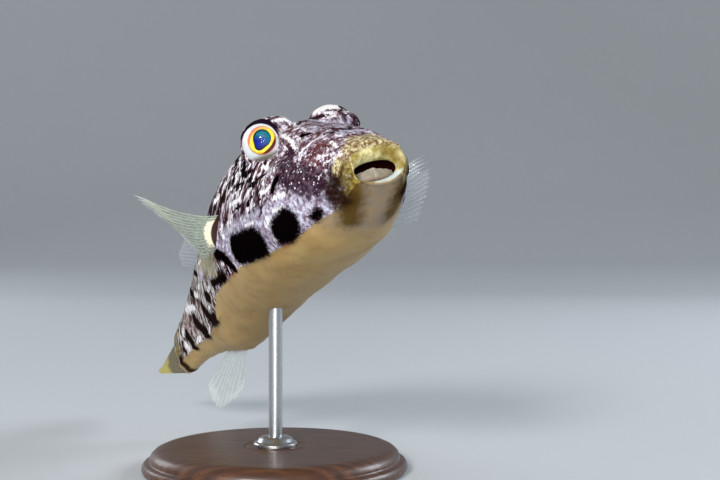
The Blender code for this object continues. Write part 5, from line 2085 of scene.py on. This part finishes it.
@dataclass
class Lappets:
    """Small white flaps of skin: a few where they show most, the rest scattered over the flanks."""

    skin: Skin
    seed: int = 21
    scattered: int = 120
    rings: int = 6
    sides: int = 8
    patch: float = 0.003
    sunk: float = 0.12           # how deep a flap's foot is in the skin, in millimetres
    raised: float = 0.10         # how far its first ring stands from that
    half_width: float = 0.24     # as a share of its length
    half_thickness: float = 0.055
    leans: tuple[float, float, float] = (25.0, 75.0, 78.0)    # at foot, end and tip, in degrees
    placed: tuple[Triple, ...] = (      # run, around, and length in millimetres
        (0.640, 62, 0.9), (0.700, 50, 0.8), (0.731, 54, 1.0), (0.742, 66, 0.8), (0.789, 65, 1.0),
        (0.853, 45, 1.1), (0.868, 61, 0.9), (0.953, 62, 0.8), (0.360, 179, 0.6), (0.345, -176, 0.5),
        (0.590, 70, 0.7), (0.815, 74, 0.8), (0.905, 70, 0.8))

    def sheet_place(self, run: float, around: float) -> tuple[float, float]:
        """Where a point of the skin lies on the skin's unwrap."""
        runs, angles = self.skin.runs(), self.skin.angles()
        pocket = len(self.skin.mouth.pocket)
        row = pocket + np.interp(run, runs, np.arange(len(runs)))
        column = np.interp(around, angles, np.arange(len(angles)))
        high = self.skin.chart_share(row, pocket + len(runs))
        return 0.005 + 0.99 * float(column) / self.skin.columns, float(high)

    def roots(self) -> list[tuple[float, float, float]]:
        """Run, around and length of each flap, none closer than two patches on the unwrap."""
        dice = np.random.default_rng(self.seed)
        wanted = [*self.placed, *((run, -around, length) for run, around, length in self.placed)]
        for _ in range(self.scattered * 4):
            run, around = dice.uniform(0.26, 0.96), dice.uniform(-98, 98)
            wanted.append((run, around, dice.uniform(0.35, 0.75)))
        kept, places = [], []
        for flap in wanted:
            spot = np.array(self.sheet_place(flap[0], flap[1]))
            clear = all(np.abs(spot - other).max() > 2 * self.patch for other in places)
            if len(kept) < self.scattered and clear:
                kept.append(flap)
                places.append(spot)
        return kept

    def flap(self, run: float, around: float, length: float, twist: float) -> Array:
        """Points of one flap in the fish's axes, ring by ring and then its tip."""
        shape = self.skin.shape
        steps = np.array([[run, around], [run + 0.004, around], [run, around + 2.0]])
        here, tailward, round_ = shape.locate(steps[:, 0], *shape.section(steps[:, 0], steps[:, 1]))
        back = unit(tailward - here)
        out = unit(np.cross(round_ - here, tailward - here))
        side = np.cross(back, out) * math.cos(twist) + back * math.sin(twist)
        foot, end, tip_lean = self.leans
        points = []
        for share in np.linspace(0, 0.94, self.rings):
            lean = math.radians(foot + (end - foot) * share)
            way = out * math.cos(lean) + back * math.sin(lean)
            spine = here - out * self.sunk * MM + way * (length * share + self.raised) * MM
            wide = length * MM * self.half_width * (1 - share) ** 0.6 * (1 + 0.5 * share)
            flat = self.half_thickness * MM * (1 - 0.5 * share)
            up = unit(np.cross(side, back * math.cos(lean) - out * math.sin(lean)))
            turn = np.arange(self.sides) / self.sides * 2 * math.pi
            ahead = unit(np.cross(side, up))
            aside, thick = side * wide * np.cos(turn)[:, None], ahead * flat * np.sin(turn)[:, None]
            points.append(spine + aside + thick)
        lean = math.radians(tip_lean)
        tip = here + (out * math.cos(lean) + back * math.sin(lean)) * (length + 0.05) * MM
        return np.concatenate(points + [[tip]])

    def build(self, finish: bpy.types.Material) -> bpy.types.Object:
        """Make the flaps as one piece with a patch each on the skin's unwrap."""
        dice = np.random.default_rng(self.seed + 1)
        points, faces, flat, heights = [], [], [], []
        each = self.rings * self.sides + 1
        ring = grid_faces(self.rings, self.sides, True)
        for number, (run, around, length) in enumerate(self.roots()):
            start = number * each
            points.append(self.flap(run, around, length, dice.uniform(-0.5, 0.5)))
            heights.append(np.append(np.repeat(np.linspace(0, 0.94, self.rings), self.sides), 1.0))
            middle = np.array(self.sheet_place(run, around))
            for quad in ring.tolist():
                row, column = quad[0] // self.sides, quad[0] % self.sides
                faces.append([corner + start for corner in quad])
                corners = ((column, row), (column + 1, row), (column + 1, row + 1), (column, row + 1))
                flat += [self.patch_spot(middle, *corner) for corner in corners]
            last = (self.rings - 1) * self.sides
            for i in range(self.sides):
                faces.append([start + last + i, start + last + (i + 1) % self.sides, start + each - 1])
                flat += [self.patch_spot(middle, i, self.rings - 1),
                         self.patch_spot(middle, i + 1, self.rings - 1),
                         self.patch_spot(middle, i + 0.5, self.rings)]
        solid = np.concatenate(points)
        piece = make_piece("skin_lappets", self.skin.pose.place(solid), faces, finish,
                           {"flap_height": np.concatenate(heights)}, {"skin_spot": solid / MM})
        layer = piece.data.uv_layers.new(name="OFBake")
        layer.data.foreach_set("uv", np.array(flat, float).reshape(-1))
        face_outward(piece)
        return hold(piece, "mottled_skin")

    def patch_spot(self, middle: Array, column: float, row: float) -> tuple[float, float]:
        """A corner's place inside its flap's patch."""
        return (float(middle[0] + self.patch * (column / self.sides - 0.5)),
                float(middle[1] + self.patch * (row / self.rings - 0.5)))


# ---------------------------------------------------------------- stand and studio
@dataclass(frozen=True)
class Stand:
    """Turned base with a steel rod that goes up into the belly and a collar round its foot."""

    base: tuple[tuple[float, float], ...] = (
        (0, 0), (26.0, 0), (26.7, 0.3), (27.0, 0.9), (26.9, 1.6), (26.5, 2.15), (25.9, 2.4),
        (25.55, 2.5), (25.4, 2.75), (25.4, 3.05), (25.15, 3.7), (24.5, 4.35), (23.5, 4.8),
        (22.2, 5.0), (6.6, 5.0), (6.35, 4.8), (6.0, 4.75), (5.7, 4.85), (5.5, 5.0), (0, 5.0))
    rod: tuple[tuple[float, float], ...] = (
        (0, 2.3), (1.30, 2.3), (1.40, 2.4), (1.40, 44.0), (1.25, 44.4), (0, 44.4))
    collar: tuple[tuple[float, float], ...] = (
        (0, 4.9), (4.3, 4.9), (4.5, 5.1), (4.5, 5.55), (4.3, 5.75), (3.9, 5.85), (3.7, 6.0),
        (3.4, 6.5), (2.9, 6.85), (2.3, 7.0), (1.6, 7.0), (1.5, 6.95), (0, 6.95))

    def build(self, wood: bpy.types.Material, steel: bpy.types.Material) -> None:
        """Make the three turned pieces."""
        for name, node, profile, finish, slot, edge in (
                ("stand_turned_base", "stand_base", self.base, wood, "stand_wood", 0.12),
                ("stand_steel_rod", "stand_rod", self.rod, steel, "stand_steel", 0.04),
                ("stand_steel_collar", "stand_collar", self.collar, steel, "stand_steel", 0.04)):
            piece = turned(name, profile, finish)
            softened(piece, edge * MM)
            hold(piece, slot, node)


@dataclass(frozen=True)
class Lamp:
    """One soft lamp: where it is, how wide, how strong and what colour."""

    name: str
    place: Triple
    size: float
    power: float
    colour: Colour = (1.0, 1.0, 1.0)

    def build(self, target: Triple) -> None:
        """Hang the lamp facing the fish."""
        light = bpy.data.lights.new(self.name, "AREA")
        light.shape = "DISK"
        light.size = self.size
        light.energy = self.power
        light.color = self.colour
        lamp = bpy.data.objects.new(self.name, light)
        lamp.location = self.place
        lamp.rotation_mode = "QUATERNION"
        lamp.rotation_quaternion = (Vector(target) - Vector(self.place)).to_track_quat("-Z", "Y")
        bpy.context.scene.collection.objects.link(lamp)


@dataclass(frozen=True)
class Studio:
    """Pale paper bowl, soft lamps and the camera."""

    pose: SwimPose
    lamps: tuple[Lamp, ...] = (
        Lamp("key", (-0.34, -0.86, 0.46), 0.24, 7.4, (1.0, 0.985, 0.96)),
        Lamp("low_fill", (-0.05, -0.95, 0.05), 0.40, 6.2, (1.0, 0.98, 0.95)),
        Lamp("rim", (0.80, 0.30, 0.45), 0.40, 5.0, (0.84, 0.92, 1.0)),
        Lamp("back", (-0.70, 0.60, 0.40), 0.45, 2.2, (0.92, 0.96, 1.0)),
    )
    bowl: tuple[tuple[float, float], ...] = (
        (0.02, 0.0), (0.3, 0.0), (0.8, 0.0), (1.1, 0.02), (1.35, 0.10), (1.55, 0.25), (1.68, 0.45),
        (1.75, 0.70), (1.78, 1.0), (1.80, 1.7))
    bowl_sides: int = 96
    aim: Triple = (0.0, 0.0, 0.045)                            # what the lamps face
    lens: float = 56.9
    camera_from_snout: Triple = (-0.0225, -1.5608, -0.1084)    # body lengths

    def build(self, paper: bpy.types.Material) -> None:
        """Set up paper, light and camera."""
        sides = self.bowl_sides
        turn = np.arange(sides) / sides * 2 * math.pi
        rings = [np.stack([r * np.cos(turn), r * np.sin(turn), np.full(sides, z)], 1)
                 for r, z in self.bowl]
        faces = grid_faces(len(rings), sides, True).tolist() + [list(range(sides))]
        floor = make_piece("studio_floor", np.concatenate(rings), faces, paper)
        floor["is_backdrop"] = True
        for lamp in self.lamps:
            lamp.build(self.aim)
        self.light_world()
        self.aim_camera()

    def light_world(self) -> None:
        """Pale light from above."""
        world = bpy.data.worlds.new("studio_air")
        world.use_nodes = True
        glow = world.node_tree.nodes["Background"]
        glow.inputs["Color"].default_value = (0.93, 0.96, 1.0, 1.0)
        glow.inputs["Strength"].default_value = 0.26
        bpy.context.scene.world = world
        bpy.context.scene.view_settings.view_transform = "Standard"

    def aim_camera(self) -> None:
        """Put the camera level, in front of and a little below the snout."""
        lens = bpy.data.cameras.new("camera")
        lens.lens = self.lens
        lens.sensor_width = 36
        lens.clip_start = 0.01
        camera = bpy.data.objects.new("camera", lens)
        apart = np.array(self.camera_from_snout) * self.pose.shape.length
        camera.location = self.pose.snout() + apart
        camera.rotation_euler = (math.pi / 2, 0, 0)
        bpy.context.scene.collection.objects.link(camera)
        bpy.context.scene.camera = camera


def write_sizes(before: tuple[Vector, Vector]) -> None:
    """Log the size of the imported solids' bounds."""
    LOG.info("solids %s", [round(v / MM, 1) for v in before[1] - before[0]])


def main() -> None:
    """Build the fish from its skin out to its stand, then the studio."""
    logging.basicConfig(level=logging.INFO, format="%(name)s: %(message)s")
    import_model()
    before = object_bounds()
    shape = BodyShape()
    pose = SwimPose(shape)
    effects = Effects()
    seats = (EyeSeat(RIGHT, shape),
             EyeSeat(LEFT, shape, opens=(-0.04, 0.998, -0.06), look=(0.01, 0.998, -0.05),
                     opening=42.0, behind=0.0))
    skin = Skin(shape, MouthShape(), pose, seats)
    skin.build(SkinFinish(effects).build())
    Lappets(skin).build(LappetFinish(effects).build())
    globe, cornea = EyeFinish(effects).build(), CorneaFinish().build()
    for seat in seats:
        Eye(seat, pose).build(globe, cornea)
    Beak(shape, pose).build(BeakFinish(effects).build())
    finishes = fin_finishes(effects)
    for name, plan in fin_plans(shape).items():
        Fin(plan, shape, pose).build(finishes[name].build())
    Stand().build(WoodFinish().build(), SteelFinish().build())
    Studio(pose).build(PaperFinish().build())
    write_sizes(before)


if __name__ == "__main__":
    main()
